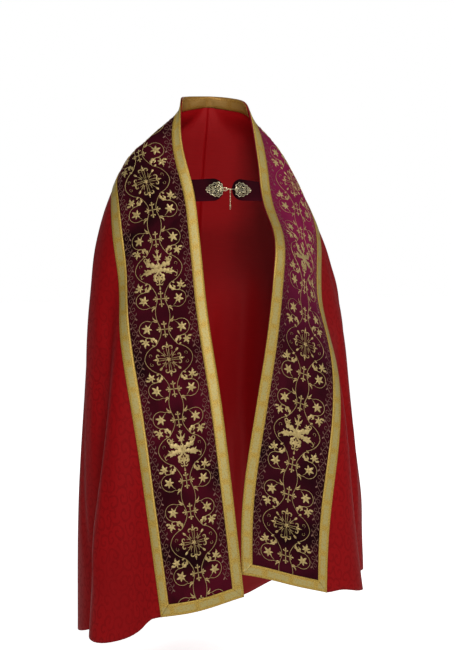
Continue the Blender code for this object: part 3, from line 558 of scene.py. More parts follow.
LINING_SHOULDER, LINING_FRONT = 70, 90
LINING_ACROSS = np.append(np.linspace(0, GALLOON_WIDTH, 4), np.linspace(GALLOON_WIDTH, SEAM_ACROSS, 16)[1:-1])
lining_cloth = lining_finish()
for side, word in SIDES:
    t = stations(LINING_SHOULDER, LINING_FRONT)
    patch = body_patch(side, SEAM_ACROSS + GAP / 2, LINING_SHOULDER, LINING_FRONT)
    band = np.stack(np.broadcast_arrays(t[None], LINING_ACROSS[:, None]), -1)
    flat = np.concatenate([band.reshape(-1, 2), patch.reshape(-1, 2)])
    band_index = numbered(band)
    index = band_index.size + numbered(patch)
    rail = np.concatenate([index[0, ::-1], index[1:, 0]])
    faces = np.concatenate([grid_triangles(index), grid_triangles(np.vstack([band_index, rail]))[:, ::-1]])
    skins = [on_cloth(side, flat[:, 0], flat[:, 1], lift) for lift in LINING]
    for skin in skins:
        skin[flat[:, 0] < 1e-9, 0] = 0  # the halves meet down the back
    lining = add_wall("satin_lining_" + word, *skins, flat, lining_cloth, faces)
    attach(lining, "cope")
    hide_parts("lining_" + word)

# ---- Orphrey bands: two lengths of burgundy velvet ----------------------------------------------
# The bands run from the hem over each shoulder and meet behind the neck. Cotton velvet on a stiff
# interlining, so they hang nearly flat. The pile is almost black face on and magenta at a glance.

VELVET = (0.0, 0.0015)


def velvet_finish(name, dark, light, glance, shine, painted_sheen=None):
    """Burgundy pile velvet: dark face on, magenta along grazing edges, with brushed and crushed patches.

    The glance is the sheen's colour. The pile of the two bands runs opposite ways, so one shines more.
    On that band the last colour given is a magenta sheen painted into the base colour over the arm,
    fading out by 0.95 m, weaker beside the front edge and patchy. The pile's grain is drawn at 1.6 mm,
    where real tufts are 0.3 mm.
    """
    finish, add, shader = new_material(name)
    cut = add("UVMap", uv_map="cut")
    brushed = add("TexNoise", cut, Scale=6.0, Detail=3.0, Distortion=0.6)
    patches = add("MapRange", brushed, 0.38, 0.66)
    pile = add("TexNoise", cut, Scale=620.0, Detail=1.0)
    colour = add("MixRGB", patches, dark, light)
    # painted sheen: a magenta mixed into the base colour over the arm, patchy, fading in near the nape, out
    # down the band and weaker by the front edge
    if painted_sheen:
        down, across, _ = add("SeparateXYZ", cut).outputs
        faded = add("MapRange", add("Math", brushed, 0.5, down, operation="MULTIPLY_ADD"), 1.08, 0.72)
        begun = add("MapRange", down, 0.02, 0.16, 0, faded)
        sheen_by_edge = add("MapRange", across, 0.02, 0.11, 0.5)
        sheen_strength = add("MapRange", patches, 0, 1, 0.62, sheen_by_edge)
        colour = add("MixRGB", add("Math", begun, sheen_strength, operation="MULTIPLY"), colour, painted_sheen)
    add(shader, Base_Color=add("MixRGB", 0.5, colour, pile, blend_type="SOFT_LIGHT"), Roughness=0.9,
        Normal=add("Bump", Strength=0.35, Distance=0.0008, Height=pile), Specular_IOR_Level=0.05,
        Sheen_Weight=shine, Sheen_Roughness=0.34, Sheen_Tint=glance)
    return finish


# the left band's last colour is its painted magenta sheen over the arm
velvets = {RIGHT: velvet_finish("burgundy_velvet", "#1a0409", "#480a1a", "#7a1c34", 0.5),
           LEFT: velvet_finish("burgundy_velvet_painted_sheen", "#1a040a", "#3c0a18", "#a82a5c", 0.46,
                               "#8a204c")}
VELVET_ACROSS = np.concatenate([[0.0, 0.012], np.linspace(0.024, 0.206, 26), [SEAM_ACROSS - GAP / 2]])
BAND_SHOULDER, BAND_FRONT = 110, 160
for side, word in SIDES:
    t = stations(BAND_SHOULDER, BAND_FRONT)
    flat = np.stack(np.broadcast_arrays(t[:, None], VELVET_ACROSS[None]), -1)
    skins = [on_cloth(side, flat[..., 0], flat[..., 1], lift) for lift in VELVET]
    for skin in skins:
        skin[0, :, 0] = side * GAP / 2
    band = add_wall("velvet_band_" + word, *skins, flat, velvets[side])
    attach(band, "cope")
    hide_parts("orphrey_" + word)

# ---- Galloon: gold braid round every edge of the bands ------------------------------------------
# Woven braid 29 mm wide with corded edges. Grey-gold figured blocks alternate with plain yellow
# ones down its middle. It is sewn flat over each edge, and mitred at the hem's corners.

STITCHED_GAP, BRAID_THICKNESS = 0.0005, 0.0012
GALLOON = (VELVET[1] + STITCHED_GAP, VELVET[1] + STITCHED_GAP + BRAID_THICKNESS)
NECK_GALLOON = (LINING[0] - STITCHED_GAP - BRAID_THICKNESS, LINING[0] - STITCHED_GAP)


def galloon_finish(name, yellow, pale, deep):
    """Woven metallic braid: bright corded edges, and a middle of pale blocks between yellow ones.

    The map's first axis runs along the braid and the second across it, in metres. Blocks repeat every
    66 mm. Picks across are drawn at 3 mm, where the real ones are about 0.7 mm.
    """
    finish, add, shader = new_material(name)
    cut = add("UVMap", uv_map="cut")
    frayed = add("TexNoise", cut, Scale=150.0, Detail=2.0).outputs["Color"]
    shaken = add("VectorMath", frayed, (0.009, 0.0045, 0), cut, operation="MULTIPLY_ADD")
    along, across, _ = add("SeparateXYZ", shaken).outputs
    beat = add("Math", add("Math", along, 1 / 0.066, operation="MULTIPLY"), 0.5, operation="PINGPONG")
    block = add("MapRange", beat, 0.05, 0.16)
    off_middle = add("Math", across, GALLOON_WIDTH / 2 + 0.0018, operation="SUBTRACT")
    span = add("Math", off_middle, operation="ABSOLUTE")
    middle = add("MapRange", span, 0.0080, 0.0066)
    figured = add("Math", block, middle, operation="MULTIPLY")
    leafage = add("TexVoronoi", cut, voronoi_dimensions="2D", Scale=150.0)
    spotted = add("MapRange", leafage, 0.2, 0.7, 0.9, 0.35)
    knots = add("TexNoise", cut, Scale=420.0, Detail=1.0)
    gold = add("MixRGB", add("MapRange", knots, 0.34, 0.62), deep, yellow)
    colour = add("MixRGB", add("Math", figured, spotted, operation="MULTIPLY"), gold, pale)
    picks = add("TexWave", cut, Scale=105.0, Distortion=0.4, bands_direction="X")
    edge = add("MapRange", span, 0.0118, 0.0138)
    height = add("Math", picks.outputs["Fac"], 0.6, edge, operation="MULTIPLY_ADD")
    add(shader, Base_Color=add("MixRGB", 0.28, colour, picks, blend_type="MULTIPLY"), Roughness=0.46,
        Normal=add("Bump", Strength=0.45, Distance=0.0007, Height=height), Metallic=0.35)
    return finish


BRAID_CROWN = 0.0004       # height of the braid's middle over its edges


def add_braid(name, along, across, lifts, finish, node):
    """Braid on the band, 'along' and 'across' its grids in the cut, crowned by 1 - (share across) ** 4."""
    inner_edge = across.min()
    width = across.max() - inner_edge
    outward = 1 if lifts[1] > 0 else -1
    crown = outward * BRAID_CROWN * (1 - ((across - inner_edge) / width * 2 - 1) ** 4)
    low, high = (lifts[0], lifts[1] + crown) if outward > 0 else (lifts[0] + crown, lifts[1])
    skins = [on_both(along, across, low), on_both(along, across, high)]
    uv = np.stack([along, across - inner_edge], -1)
    if "hem" in name:
        uv = np.stack([across, FRONT_LENGTH - np.abs(along)], -1)
    braid = add_wall(name, *skins, uv, finish)
    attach(braid, "cope")
    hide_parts(node)


def mitred(across, mitre):
    """Signed places along the whole braid, from hem to hem, its ends cut at 45 degrees to 'mitre'.

    Places past the cut are drawn back to it, a hair apart.
    """
    half = stations(BAND_SHOULDER, BAND_FRONT)
    signed = np.concatenate([-half[:0:-1], half])[:, None] * np.ones(len(across))
    reach = FRONT_LENGTH - np.abs(across - mitre) - GAP
    return np.clip(signed, -reach, reach) + 1e-9 * signed


gold_braid = galloon_finish("gold_galloon", "#d0ae4c", "#b5a96e", "#947428")
# painted shade: the braid inside the collar is the same galloon in darker golds, for the shadow it lies in
shaded_neck_braid = galloon_finish("inner_gold_galloon_painted_shade", "#b58a38", "#a98445", "#85591d")
BRAID_ACROSS = np.linspace(0, GALLOON_WIDTH, 7)
HEM_POINTS, NECK_POINTS = 48, 70
for name, across, mitre in (("front", BRAID_ACROSS, 0.0),
                            ("outer", BAND_WIDTH - BRAID_ACROSS[::-1], BAND_WIDTH)):
    along = mitred(across, mitre)
    add_braid("braid_" + name, along, np.broadcast_to(across, along.shape).copy(), GALLOON, gold_braid,
              "galloon_" + name)
for side, word in SIDES:
    up = BRAID_ACROSS[:, None] * np.ones(HEM_POINTS)
    across = up + (BAND_WIDTH - 2 * up) * np.linspace(0, 1, HEM_POINTS)
    add_braid("braid_hem_" + word, side * (FRONT_LENGTH - up), across, GALLOON, gold_braid,
              "galloon_hem_" + word)
NECK_REACH = 0.1391
along = np.linspace(-NECK_REACH, NECK_REACH, NECK_POINTS)[:, None] * np.ones(len(BRAID_ACROSS))
add_braid("braid_neck", along, np.broadcast_to(BRAID_ACROSS, along.shape).copy(), NECK_GALLOON, shaded_neck_braid,
          "galloon_neck")

# ---- Embroidery: gold thread on the velvet -------------------------------------------------------
# Couched and satin-stitched vine scrolls with six-pointed leaves, budded crosses, and a wreath about
# every 231 mm that frames a cross or a leafy spray. Narrow scrolls in duller thread follow both edges.

FIRST_WREATH, REPEAT = {RIGHT: 0.339, LEFT: 0.330}, {RIGHT: 0.2281, LEFT: 0.2345}
BAND_MIDDLE = BAND_WIDTH / 2 - 0.0005
THREAD_LIFT = VELVET[1] + 0.0001
LINE_POINTS = 36
SMALL_BUD = 0.0056         # a leaf smaller than this is a bud
QUARTERS = (0, pi / 2, pi, 1.5 * pi)


def thread_finish(name, light, dark, metal):
    """Gilt embroidery thread: satin stitches across each line, glinting in short streaks.

    The streaks are drawn 1.1 mm across, where a real thread is about 0.3 mm.
    """
    finish, add, shader = new_material(name)
    cut = add("UVMap", uv_map="cut")
    stitches = add("TexNoise", cut, Scale=900.0, Detail=1.0)
    worn = add("TexNoise", cut, Scale=60.0, Detail=2.0)
    glint = add("Math", stitches, 0.5, -0.25, operation="MULTIPLY_ADD")
    glint = add("Math", glint, worn, operation="ADD", use_clamp=True)
    add(shader, Base_Color=add("MixRGB", glint, dark, light), Roughness=0.45, Metallic=metal,
        Normal=add("Bump", Strength=0.5, Distance=0.0004, Height=stitches))
    return finish


def smooth_path(corners, count):
    """A smooth line through corner points, by their running length, as 'count' points."""
    corners = np.array(corners, float)
    length = run_along(corners)
    at = np.linspace(0, length[-1], count)
    return np.stack([through(length, column, at) for column in corners.T], 1)


def drawn(shapes):
    """Lines from rows of: corners in mm, thickness in mm, and the shares and lobes for 'taper'."""
    return [(smooth_path(np.array(corners) / 1000, LINE_POINTS), thick / 1000, *ends)
            for corners, thick, *ends in shapes]


def arc(middle, radius, first, last, count, squeeze=1.0):
    """Part of a circle from angle 'first' to 'last' in degrees; the radius may be a pair to spiral."""
    turn = np.radians(np.linspace(first, last, count))
    reach = np.linspace(*radius, count) if np.ndim(radius) else radius
    return np.stack([middle[0] + reach * np.cos(turn), middle[1] + squeeze * reach * np.sin(turn)], 1)


def taper(count, thick, start, end, lobes=0):
    """Line widths: 'start' and 'end' shares at the tips, full between, by a half sine wave.

    A lobed leaf is notched: its width is also 0.45 + 0.55 x |cos(lobes x pi x u)|.
    """
    u = np.linspace(0, 1, count)
    notched = 0.45 + 0.55 * np.abs(np.cos(lobes * pi * u)) if lobes else 1
    return thick * notched * (start + (end - start) * u + (1 - (start + end) / 2) * np.sin(pi * u))


def lay_lines(lines, widths, rise):
    """Raised lines on the band: height = rise x (1 - share across squared), five points across."""
    run = np.gradient(lines, axis=1)
    across = unit(np.stack([-run[..., 1], run[..., 0]], -1))
    shares = np.array([-1, -0.6, 0, 0.6, 1])
    flat = lines[:, :, None] + across[:, :, None] * (shares[:, None] * widths[..., None, None] / 2)
    height = np.broadcast_to(rise * (1 - shares ** 2), flat.shape[:-1])
    return flat.reshape(-1, 2), height.reshape(-1), grid_triangles(numbered(flat))


def lay_leaves(places, rise, spokes=36):
    """Raised six-pointed leaves, and almond buds with two points where the size is under SMALL_BUD.

    Rows of (across, along, angle, size); radius = size x (0.46 + 0.54 x (1 - |sin(points x angle / 2)|
    ** 1.3)) x (1 + 0.2 cos(angle)), domed, lower between the points.
    """
    places = np.asarray(places, float)
    turn = np.linspace(0, 2 * pi, spokes, endpoint=False)
    pointed = np.where(places[:, 3, None] < SMALL_BUD, 2, 6)
    lobe = (1 - np.abs(np.sin(pointed * turn / 2)) ** 1.3)[:, None]
    outline = (0.46 + 0.54 * lobe) * (1 + 0.2 * np.cos(turn))
    shares = np.array([0.02, 0.4, 0.75, 1.0])
    reach = places[:, 3, None, None] * shares[:, None] * outline
    angle = places[:, 2, None, None] + turn
    flat = np.stack([places[:, 0, None, None] + reach * np.cos(angle),
                     places[:, 1, None, None] + reach * np.sin(angle)], -1)
    dome = np.array([1.0, 0.9, 0.6, 0.0])[:, None] * (0.55 + 0.45 * lobe)
    height = np.broadcast_to(rise * dome, flat.shape[:-1])
    return flat.reshape(-1, 2), height.reshape(-1), grid_triangles(numbered(flat), closed=True)


def mirrored(lines, leaves):
    """Lines and leaves with their mirror images on the band's other half."""
    return (lines + [(line * np.array([-1, 1]), *rest) for line, *rest in lines],
            leaves + [(-x, y, pi - turn, size) for x, y, turn, size in leaves])


def halfway_part():
    """Scrolls at both sides of one halfway point, y measured from it towards the wreath.

    A stem bows out round an oval, passes the cross and swings out to the wreath. A round of vine
    leaves it, holds a leaf in its middle, and turns back as a leafy branch with an ivy leaf.
    """
    stem = [(18, 0), (17.2, 10), (14.5, 21), (11, 31), (9.6, 39.5), (11, 50), (16.4, 62),
            (22.5, 71.5), (29, 78.5), (35.2, 81.2)]
    vine = [(16.5, 15)] + arc((42.5, 36.5), (21.4, 20.5), -118, 85, 14).tolist()
    branch = vine[-1:] + [(38, 58.3), (31.8, 60), (26.2, 65), (24, 71.5), (27.5, 78.5)]
    lines = drawn((
        (stem, 1.4, 0.9, 0.8), (vine, 1.3, 0.8, 0.9), (branch, 1.6, 0.9, 0.6),
        ([(30, 20.5), (34.5, 24.5), (40.5, 32)], 1.4, 0.6, 0.9),
        ([(40.5, 57.8), (31.8, 61.2), (26.2, 67.2), (25.8, 76.5)], 8.8, 0.10, 0.08, 3),
        ([(37.2, 59), (36.5, 65.5), (32.5, 71.2)], 5.6, 0.15, 0.10, 2),
        ([(43, 57.4), (50, 59.2), (51.6, 65)], 1.8, 0.8, 0.9),
        ([(51.6, 70), (55.2, 77), (53.5, 83.5)], 4.4, 0.5, 0.10, 2),
        ([(16, 16.5), (20.5, 15), (25, 10.8), (26.2, 6)], 3.2, 0.5, 0.1),
        ([(15, 18.5), (21.5, 19), (26.2, 16)], 2.8, 0.5, 0.1)))
    return mirrored(lines, [(0.0430, 0.0350, 0.8, 0.0130), (0.0516, 0.0685, 1.3, 0.0108),
                            (0.0600, 0.0628, 0.2, 0.0052)])


def wreath_part():
    """Half of the ring round a centre with two small curls inside it, y measured from the centre."""
    lines = [(arc((0, 0), (0.0605, 0.0565), 0, 53, LINE_POINTS, 0.74), 0.0014, 1.0, 0.9),
             (arc((0.0440, 0.0110), (0.0050, 0.0016), -60, 250, LINE_POINTS), 0.0009, 0.6, 0.8)]
    return mirrored(lines, [(0.0330, 0.0355, 0.6, 0.0042)])


def budded_cross(y, half, thick):
    """A cross with three buds on each arm, centred on the band at 'y': its lines and leaves."""
    lines, leaves = [], [(0, y, 0.4, thick * 0.9)]
    for turn in QUARTERS:
        way, beside = np.array([cos(turn), sin(turn)]), np.array([-sin(turn), cos(turn)])
        lines.append((np.array([0, y]) + way * np.linspace(0.1, 0.78, LINE_POINTS)[:, None] * half,
                      thick, 0.9, 0.7))
        for out, aside, size, bent in ((0.84, 0, 0.19, 0), (0.67, 0.17, 0.16, 1.1),
                                       (0.67, -0.17, 0.16, -1.1)):
            spot = np.array([0, y]) + (way * out + beside * aside) * half
            leaves.append((spot[0], spot[1], turn + bent, size * half))
    return lines, leaves


def cross_centre():
    """The cross inside a wreath: double-lined arms ending in three curled petals, rays between them."""
    arm = (([(0.16, 1.6), (0.45, 2.4), (0.70, 3.4)], 1.3, 0.8, 0.8),
           ([(0.66, 1.0), (0.76, 6.0), (0.72, 11.8), (0.60, 11.2), (0.62, 7.6)], 3.0, 0.7, 0.2),
           ([(0.20, 5.0), (0.34, 9.8), (0.50, 10.4)], 1.6, 0.5, 0.2))
    petal = (([(0.66, 0), (0.84, 0), (1.0, 0)], 5.6, 0.3, 0.1, 2),)
    lines, leaves = [], [(0, 0, 0.3, 0.0075)]
    for turn in QUARTERS:
        way, beside = np.array([cos(turn), sin(turn)]), np.array([-sin(turn), cos(turn)])
        half = 40 if turn in (0, pi) else 44
        for hand, shapes in ((1, arm), (-1, arm), (0, petal)):
            lines += drawn([([way * out * half + beside * aside * hand for out, aside in corners], *rest)
                            for corners, *rest in shapes])
        diagonal = way + beside
        lines.append((np.linspace(0.0085, 0.0205, LINE_POINTS)[:, None] * diagonal, 0.0016, 0.9, 0.3))
        leaves.append((*(diagonal * 0.0225), turn + pi / 4, 0.0050))
    return lines, leaves


def spray_centre():
    """The spray inside a wreath: a double rosette among broad lobed leaves, a bud above and below."""
    lines, leaves = mirrored(drawn((
        ([(6, -6), (14, -10), (24, -12.5), (33, -20.5)], 15, 0.50, 0.12, 3),
        ([(6, 4), (18, 4), (29, 9), (39, 10)], 14, 0.45, 0.12, 4),
        ([(3, 10), (10, 18), (10.5, 27), (4, 35)], 9.5, 0.50, 0.12, 3),
        ([(33, -20.5), (35, -27), (29.5, -30), (26.5, -25.5)], 2.4, 0.9, 0.12),
        ([(39, 10), (45.5, 14), (44, 21), (38.5, 19)], 2.2, 0.9, 0.12),
        ([(0, -28), (7, -33), (11, -40)], 3.4, 0.5, 0.12), ([(0, 38), (6, 40), (9.5, 35)], 3.0, 0.5, 0.12))),
        [(0.0245, -0.0225, -1.0, 0.0078), (0.0290, 0.0060, 0.2, 0.0098)])
    lines.append((np.linspace((0, -0.014), (0, -0.050), LINE_POINTS), 0.0050, 0.9, 0.2, 4))
    lines.append((np.linspace((0, 0.014), (0, 0.049), LINE_POINTS), 0.0036, 0.9, 0.2, 3))
    middle = [(0, -0.002, 0.3, 0.0155), (0, -0.002, 0.82, 0.0135), (0, -0.0265, -pi / 2, 0.0100),
              (0, 0.0230, pi / 2, 0.0115), (0, -0.0440, -pi / 2, 0.0060), (0, 0.0480, pi / 2, 0.0042)]
    return lines, middle + leaves


def moved(design, centre, way):
    """A design set on the band at 'centre', its y axis along the band times 'way'."""
    lines, leaves = design
    return ([(np.stack([line[:, 0], centre + way * line[:, 1]], 1), *rest) for line, *rest in lines],
            [(x, centre + way * y, way * turn, size) for x, y, turn, size in leaves])


SCROLL_STEP, SCROLL_POINTS, EDGE_SCROLL = 0.021, 12, 0.0748


def edge_scrolls(start, end):
    """The narrow scroll along both edges: a wave with a curl, a twig and a bud in every bend."""
    lines, leaves = [], []
    for k, y in enumerate(np.arange(start, end - SCROLL_STEP, SCROLL_STEP)):
        bend = 1 if k % 2 else -1
        u = np.linspace(0, 1, SCROLL_POINTS)
        wave = np.stack([EDGE_SCROLL + bend * 0.0052 * np.sin(pi * u), y + SCROLL_STEP * u], 1)
        curl = arc((EDGE_SCROLL - bend * 0.0022, y + 0.5 * SCROLL_STEP), (0.0064, 0.0018), 90 * bend - 60,
                   90 * bend + 300, SCROLL_POINTS)
        twig = smooth_path([(EDGE_SCROLL + bend * 0.0044, y + 0.35 * SCROLL_STEP),
                            (EDGE_SCROLL + bend * 0.0086, y + 0.20 * SCROLL_STEP),
                            (EDGE_SCROLL + bend * 0.0092, y - 0.05 * SCROLL_STEP)], SCROLL_POINTS)
        both = mirrored([(wave, 0.0010, 1.0, 1.0), (curl, 0.0010, 0.8, 0.8), (twig, 0.0017, 0.3, 0.3)],
                        [(EDGE_SCROLL + bend * 0.0078, y + 0.80 * SCROLL_STEP, bend * 0.8, 0.0036)])
        lines, leaves = lines + both[0], leaves + both[1]
    return lines, leaves


EMBROIDERED_TO = FRONT_LENGTH - GALLOON_WIDTH + 0.004


def cut_off(line):
    """The part of a line above the hem galloon, spread over the same number of points."""
    past = np.nonzero(line[:, 1] > EMBROIDERED_TO)[0]
    kept = np.linspace(0, (past[0] if len(past) else len(line)) - 1, len(line))
    return np.stack([np.interp(kept, np.arange(len(line)), line[:, k]) for k in (0, 1)], 1)


LEAF_RISE = 1.15           # height of the leaves as a share of the lines'
NAP_OVER, LEAST_THREAD = 0.0004, 0.3  # how far raised nap closes over a line; share of it that stays
NAP_FROM, NAP_GONE = (0.08, 0.18), (0.72, 0.92)  # where along the band this grows and fades


def embroider(name, side, designs, rise, finish):
    """Sew designs on one side's band: lines and leaves as one raised mesh, carried onto the velvet.

    Where the left band's nap is brushed up it closes over each line by NAP_OVER a side.
    """
    lines = [line for design in designs for line in design[0] if line[0][2, 1] < EMBROIDERED_TO]
    leaves = [leaf for design in designs for leaf in design[1] if leaf[1] < EMBROIDERED_TO - leaf[3]]
    paths = np.stack([cut_off(line[0]) for line in lines])
    widths = np.stack([taper(paths.shape[1], *line[1:]) for line in lines])
    if side == LEFT:
        along = paths[..., 1]
        over = (soft_step((along - NAP_FROM[0]) / (NAP_FROM[1] - NAP_FROM[0]))
                * soft_step((NAP_GONE[1] - along) / (NAP_GONE[1] - NAP_GONE[0])))
        widths = np.maximum(widths - 2 * NAP_OVER * over, LEAST_THREAD * widths)
    flat, height, faces = lay_lines(paths, widths, rise)
    leaf_flat, leaf_height, leaf_faces = lay_leaves(leaves, rise * LEAF_RISE)
    faces = np.concatenate([faces, leaf_faces + len(flat)])
    flat, height = np.concatenate([flat, leaf_flat]), np.concatenate([height, leaf_height])
    place = side * flat[:, 1], BAND_MIDDLE + flat[:, 0]
    points = on_both(*place, THREAD_LIFT + height)
    a, b, c = (points[faces[:, k]] for k in range(3))
    away = on_both(*place, 0.01) - on_both(*place, 0.0)
    wrong = np.sum(np.cross(b - a, c - a) * away[faces[:, 0]], axis=1) < 0
    faces[wrong] = faces[wrong][:, ::-1]
    piece = add_mesh(name, points, faces, flat, finish)
    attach(piece, "cope")


CROSS_OFF = 0.0384         # from a halfway point to the crosses on either side of it
gilt = thread_finish("gilt_thread", "#c9b47c", "#8f7840", 0.35)
dull_gilt = thread_finish("dull_gilt_thread", "#8c6650", "#583834", 0.2)
scroll_part, ring_part = halfway_part(), wreath_part()
for side, word in SIDES:
    vines, wreaths = [], []
    for k in range(-1, 6):
        centre = FIRST_WREATH[side] + REPEAT[side] * k
        # the first halfway point is at the nape: the right's scrolls run both ways, the left's only down
        for way in ((1, -1) if k >= 0 or side == RIGHT else (1,)):
            halfway = centre - REPEAT[side] / 2
            vines.append(moved(scroll_part, halfway, way))
            vines.append(budded_cross(halfway + way * CROSS_OFF, 0.0195, 0.0022))
        if k < 5:
            wreaths += [moved(ring_part, centre, 1), moved(ring_part, centre, -1),
                        moved((cross_centre, spray_centre)[k % 2](), centre, 1)]
    embroider("vine_scrolls_" + word, side, vines, 0.0009, gilt)
    embroider("wreaths_" + word, side, wreaths, 0.0011, gilt)
    embroider("edge_scrolls_" + word, side, [edge_scrolls(0.0, FRONT_LENGTH - 0.034)], 0.0006, dull_gilt)

# ---- Clasp tabs: two velvet straps with half-round ends ------------------------------------------
# Each strap is velvet over buckram, turned in and pressed round its rim, and sewn inside the front
# edge. Their ends meet in the opening, held by the hook.

CLASP_ALONG = {RIGHT: 0.393, LEFT: 0.388}  # distance down each front edge
TAB_HALF_HEIGHT, TAB_UNDER_BAND, TAB_THICKNESS = 0.0285, 0.016, 0.003
TAB_MIDDLE = LINING[0] - 0.0009 - TAB_THICKNESS / 2
TAB_END = {RIGHT: (-0.001, -0.199, -0.248), LEFT: (0.0205, -0.199, -0.248)}


def tab_point(side, along, up):
    """A tab's middle surface: 'along' is 0 at the front edge and 1 at the rounded end."""
    along, up = np.broadcast_arrays(np.asarray(along, float), np.asarray(up, float))
    inside = np.clip(-along, 0, None) * TAB_UNDER_BAND
    sewn = on_cloth(side, CLASP_ALONG[side] - up, inside, TAB_MIDDLE)
    end = np.array(TAB_END[side]) + up[..., None] * np.array([0, 0, 1.0])
    reach = np.clip(along, 0, None)[..., None]
    return sewn * (1 - reach) + end * reach


def tab_normal(side, along, up):
    """Unit normal of a tab towards the viewer in front."""
    run = tab_point(side, along + 0.01, up) - tab_point(side, along - 0.01, up)
    rise = tab_point(side, along, up + 0.001) - tab_point(side, along, up - 0.001)
    normal = np.cross(run, rise)
    return unit(normal * -np.sign(normal[..., 1:2]))


def tab_length(side):
    """Length of a tab from the front edge to its rounded end."""
    return float(np.linalg.norm(TAB_END[side] - tab_point(side, 0.0, 0.0)))


TAB_STRAIGHT, TAB_ROUND, TAB_UP = 30, 21, 25  # points along its straight part, its end and its height

for side, word in SIDES:
    # half height falls as a circle near the end, and the faces part as 1 - |height| ** 8
    length = tab_length(side)
    straight = 1 - TAB_HALF_HEIGHT / length
    turn = np.linspace(0, 0.985 * pi / 2, TAB_ROUND + 1)[1:]
    along = np.append(np.linspace(-1, straight, TAB_STRAIGHT), straight + (1 - straight) * np.sin(turn))
    height = TAB_HALF_HEIGHT * np.append(np.ones(TAB_STRAIGHT), np.cos(turn))
    share = np.sin(np.linspace(-pi / 2, pi / 2, TAB_UP))
    up = height[:, None] * share
    along = np.repeat(along[:, None], TAB_UP, axis=1)
    middle, normal = tab_point(side, along, up), tab_normal(side, along, up)
    rim = np.clip((along - straight) / (1 - straight), 0, 1)
    half = TAB_THICKNESS / 2 * (0.25 + 0.75 * (1 - np.abs(share) ** 8) * (1 - rim ** 12))
    skins = [middle - normal * half[..., None], middle + normal * half[..., None]]
    tab = add_wall("clasp_tab_" + word, *skins, np.stack([along * length, up], -1), velvets[RIGHT])
    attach(tab, "cope")
    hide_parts("tab_" + word)

# ---- Clasp plates: pierced leaf-shaped castings ---------------------------------------------------
# Pale brass castings, each a spade-shaped leaf of scrolls inside a beaded, scalloped rim, pointing
# away from the opening. One holds a loop of wire and the other a hook.

PLATE_LENGTH, PLATE_HEIGHT = 0.044, 0.037
WIRE_RADIUS, WIRE_ROOT = 0.0009, 0.0021
HOOK_STAND, HOOK_HALF_DEPTH = 0.0028, 0.0036  # its middle in front of the tabs' ends; half its bend
HOOK_SHAPE = (             # x, and y as a share of the half depth, from the plate round the bend
    (0.0205, -0.8), (0.0180, -0.96), (0.0142, -1.0), (0.0100, -1.0), (0.0060, -0.94), (0.0032, -0.66),
    (0.0018, -0.11), (0.0022, 0.5), (0.0042, 0.89), (0.0068, 1.0), (0.0100, 1.0))
HOOK_ROOTS = (0.0110, 0.0065)  # distances of the hook's roots from the tab's end
EYE_ROOT, EYE_TIP_X, EYE_HALF_HEIGHT = 0.0095, 0.0075, 0.0034
EYE_BEHIND = 0.0010        # the eye's tip passes this far behind the hook's front
PLATE_INSET = {RIGHT: 0.0228, LEFT: 0.0295}  # from a tab's rounded end to its plate's middle
PLATE_TAPER, PLATE_FULLEST, PLATE_LOBES = 0.45, 1.084, 12
FILIGREE_POINTS, WIRE_POINTS = 60, 90
DOME = ((0.0, 0.0034), (0.2, 0.0033), (0.5, 0.0029), (0.8, 0.0021), (1.0, 0.0014))


def brass_finish(name, light, dark):
    """Pale cast brass: rubbed bright in spots of about 2.4 mm, and duller and rougher between them."""
    finish, add, shader = new_material(name)
    grains = add("TexNoise", add("TexCoord").outputs["Object"], Scale=420.0, Detail=2.0)
    worn = add("MapRange", grains, 0.35, 0.62)
    add(shader, Base_Color=add("MixRGB", worn, dark, light), Metallic=1.0,
        Roughness=add("MapRange", worn, 0, 1, 0.42, 0.24),
        Normal=add("Bump", Strength=0.2, Distance=0.0003, Height=grains))
    return finish


def before_tab(side, inset, up, height):
    """A place 'height' in front of a tab's middle surface and 'inset' from its rounded end."""
    along = 1 - inset / tab_length(side)
    return tab_point(side, along, up) + tab_normal(side, along, up) * np.asarray(height)[..., None]


def on_plate(side, x, y):
    """A place on a plate's dome: x is 1 at the leaf's tip, y at its fullest side, height by DOME."""
    height = TAB_THICKNESS / 2 + np.interp(np.clip(np.hypot(x, y), 0, 1), *np.transpose(DOME))
    return before_tab(side, PLATE_INSET[side] + PLATE_LENGTH / 2 * x, PLATE_HEIGHT / 2 * y, height)


def tubes(paths, radius, around=6):
    """Round wires along equal-length 3-D paths: point + radius x (side x cos + up x sin)."""
    run = unit(np.gradient(paths, axis=1))
    side_way = unit(np.cross(run, np.array([0.31, -0.2, 0.93])))  # a direction that no wire runs in
    up_way = np.cross(side_way, run)
    turn = (np.arange(around) * 2 * pi / around)[:, None]
    ring = side_way[:, :, None] * np.cos(turn) + up_way[:, :, None] * np.sin(turn)
    points = paths[:, :, None] + ring * np.broadcast_to(radius, paths.shape[:2])[..., None, None]
    return points.reshape(-1, 3), grid_triangles(numbered(points), closed=True)


def balls(spots, radius):
    """Small beads: each a sphere of 6 by 9 points, (cos, sin) of two angles times the radius."""
    down, turn = np.linspace(0.05, pi - 0.05, 6)[:, None], np.linspace(0, 2 * pi, 9)[None]
    ball = np.stack([np.sin(down) * np.cos(turn), np.sin(down) * np.sin(turn), np.cos(down) + 0 * turn], -1)
    points = spots[:, None, None] + ball * radius
    return points.reshape(-1, 3), grid_triangles(numbered(points))


def add_brass(name, shape, body="cope"):
    """One brass piece from its points and faces, on its body."""
    points, faces = shape
    piece = add_mesh(name, points, faces, points[:, [0, 2]], pale_brass)
    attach(piece, body)
    return piece


def leaf_outline(turn, lobed=True):
    """The plate's rim: an ellipse tapered by 1 - 0.45 cos(angle), in 12 points of |cos(6 angle)|."""
    lobes = 0.88 + 0.14 * np.abs(np.cos(PLATE_LOBES / 2 * turn)) ** 1.6 if lobed else 1
    narrowing = (1 - PLATE_TAPER * np.cos(turn)) / PLATE_FULLEST
    return np.stack([lobes * np.cos(turn), lobes * narrowing * np.sin(turn)], -1)


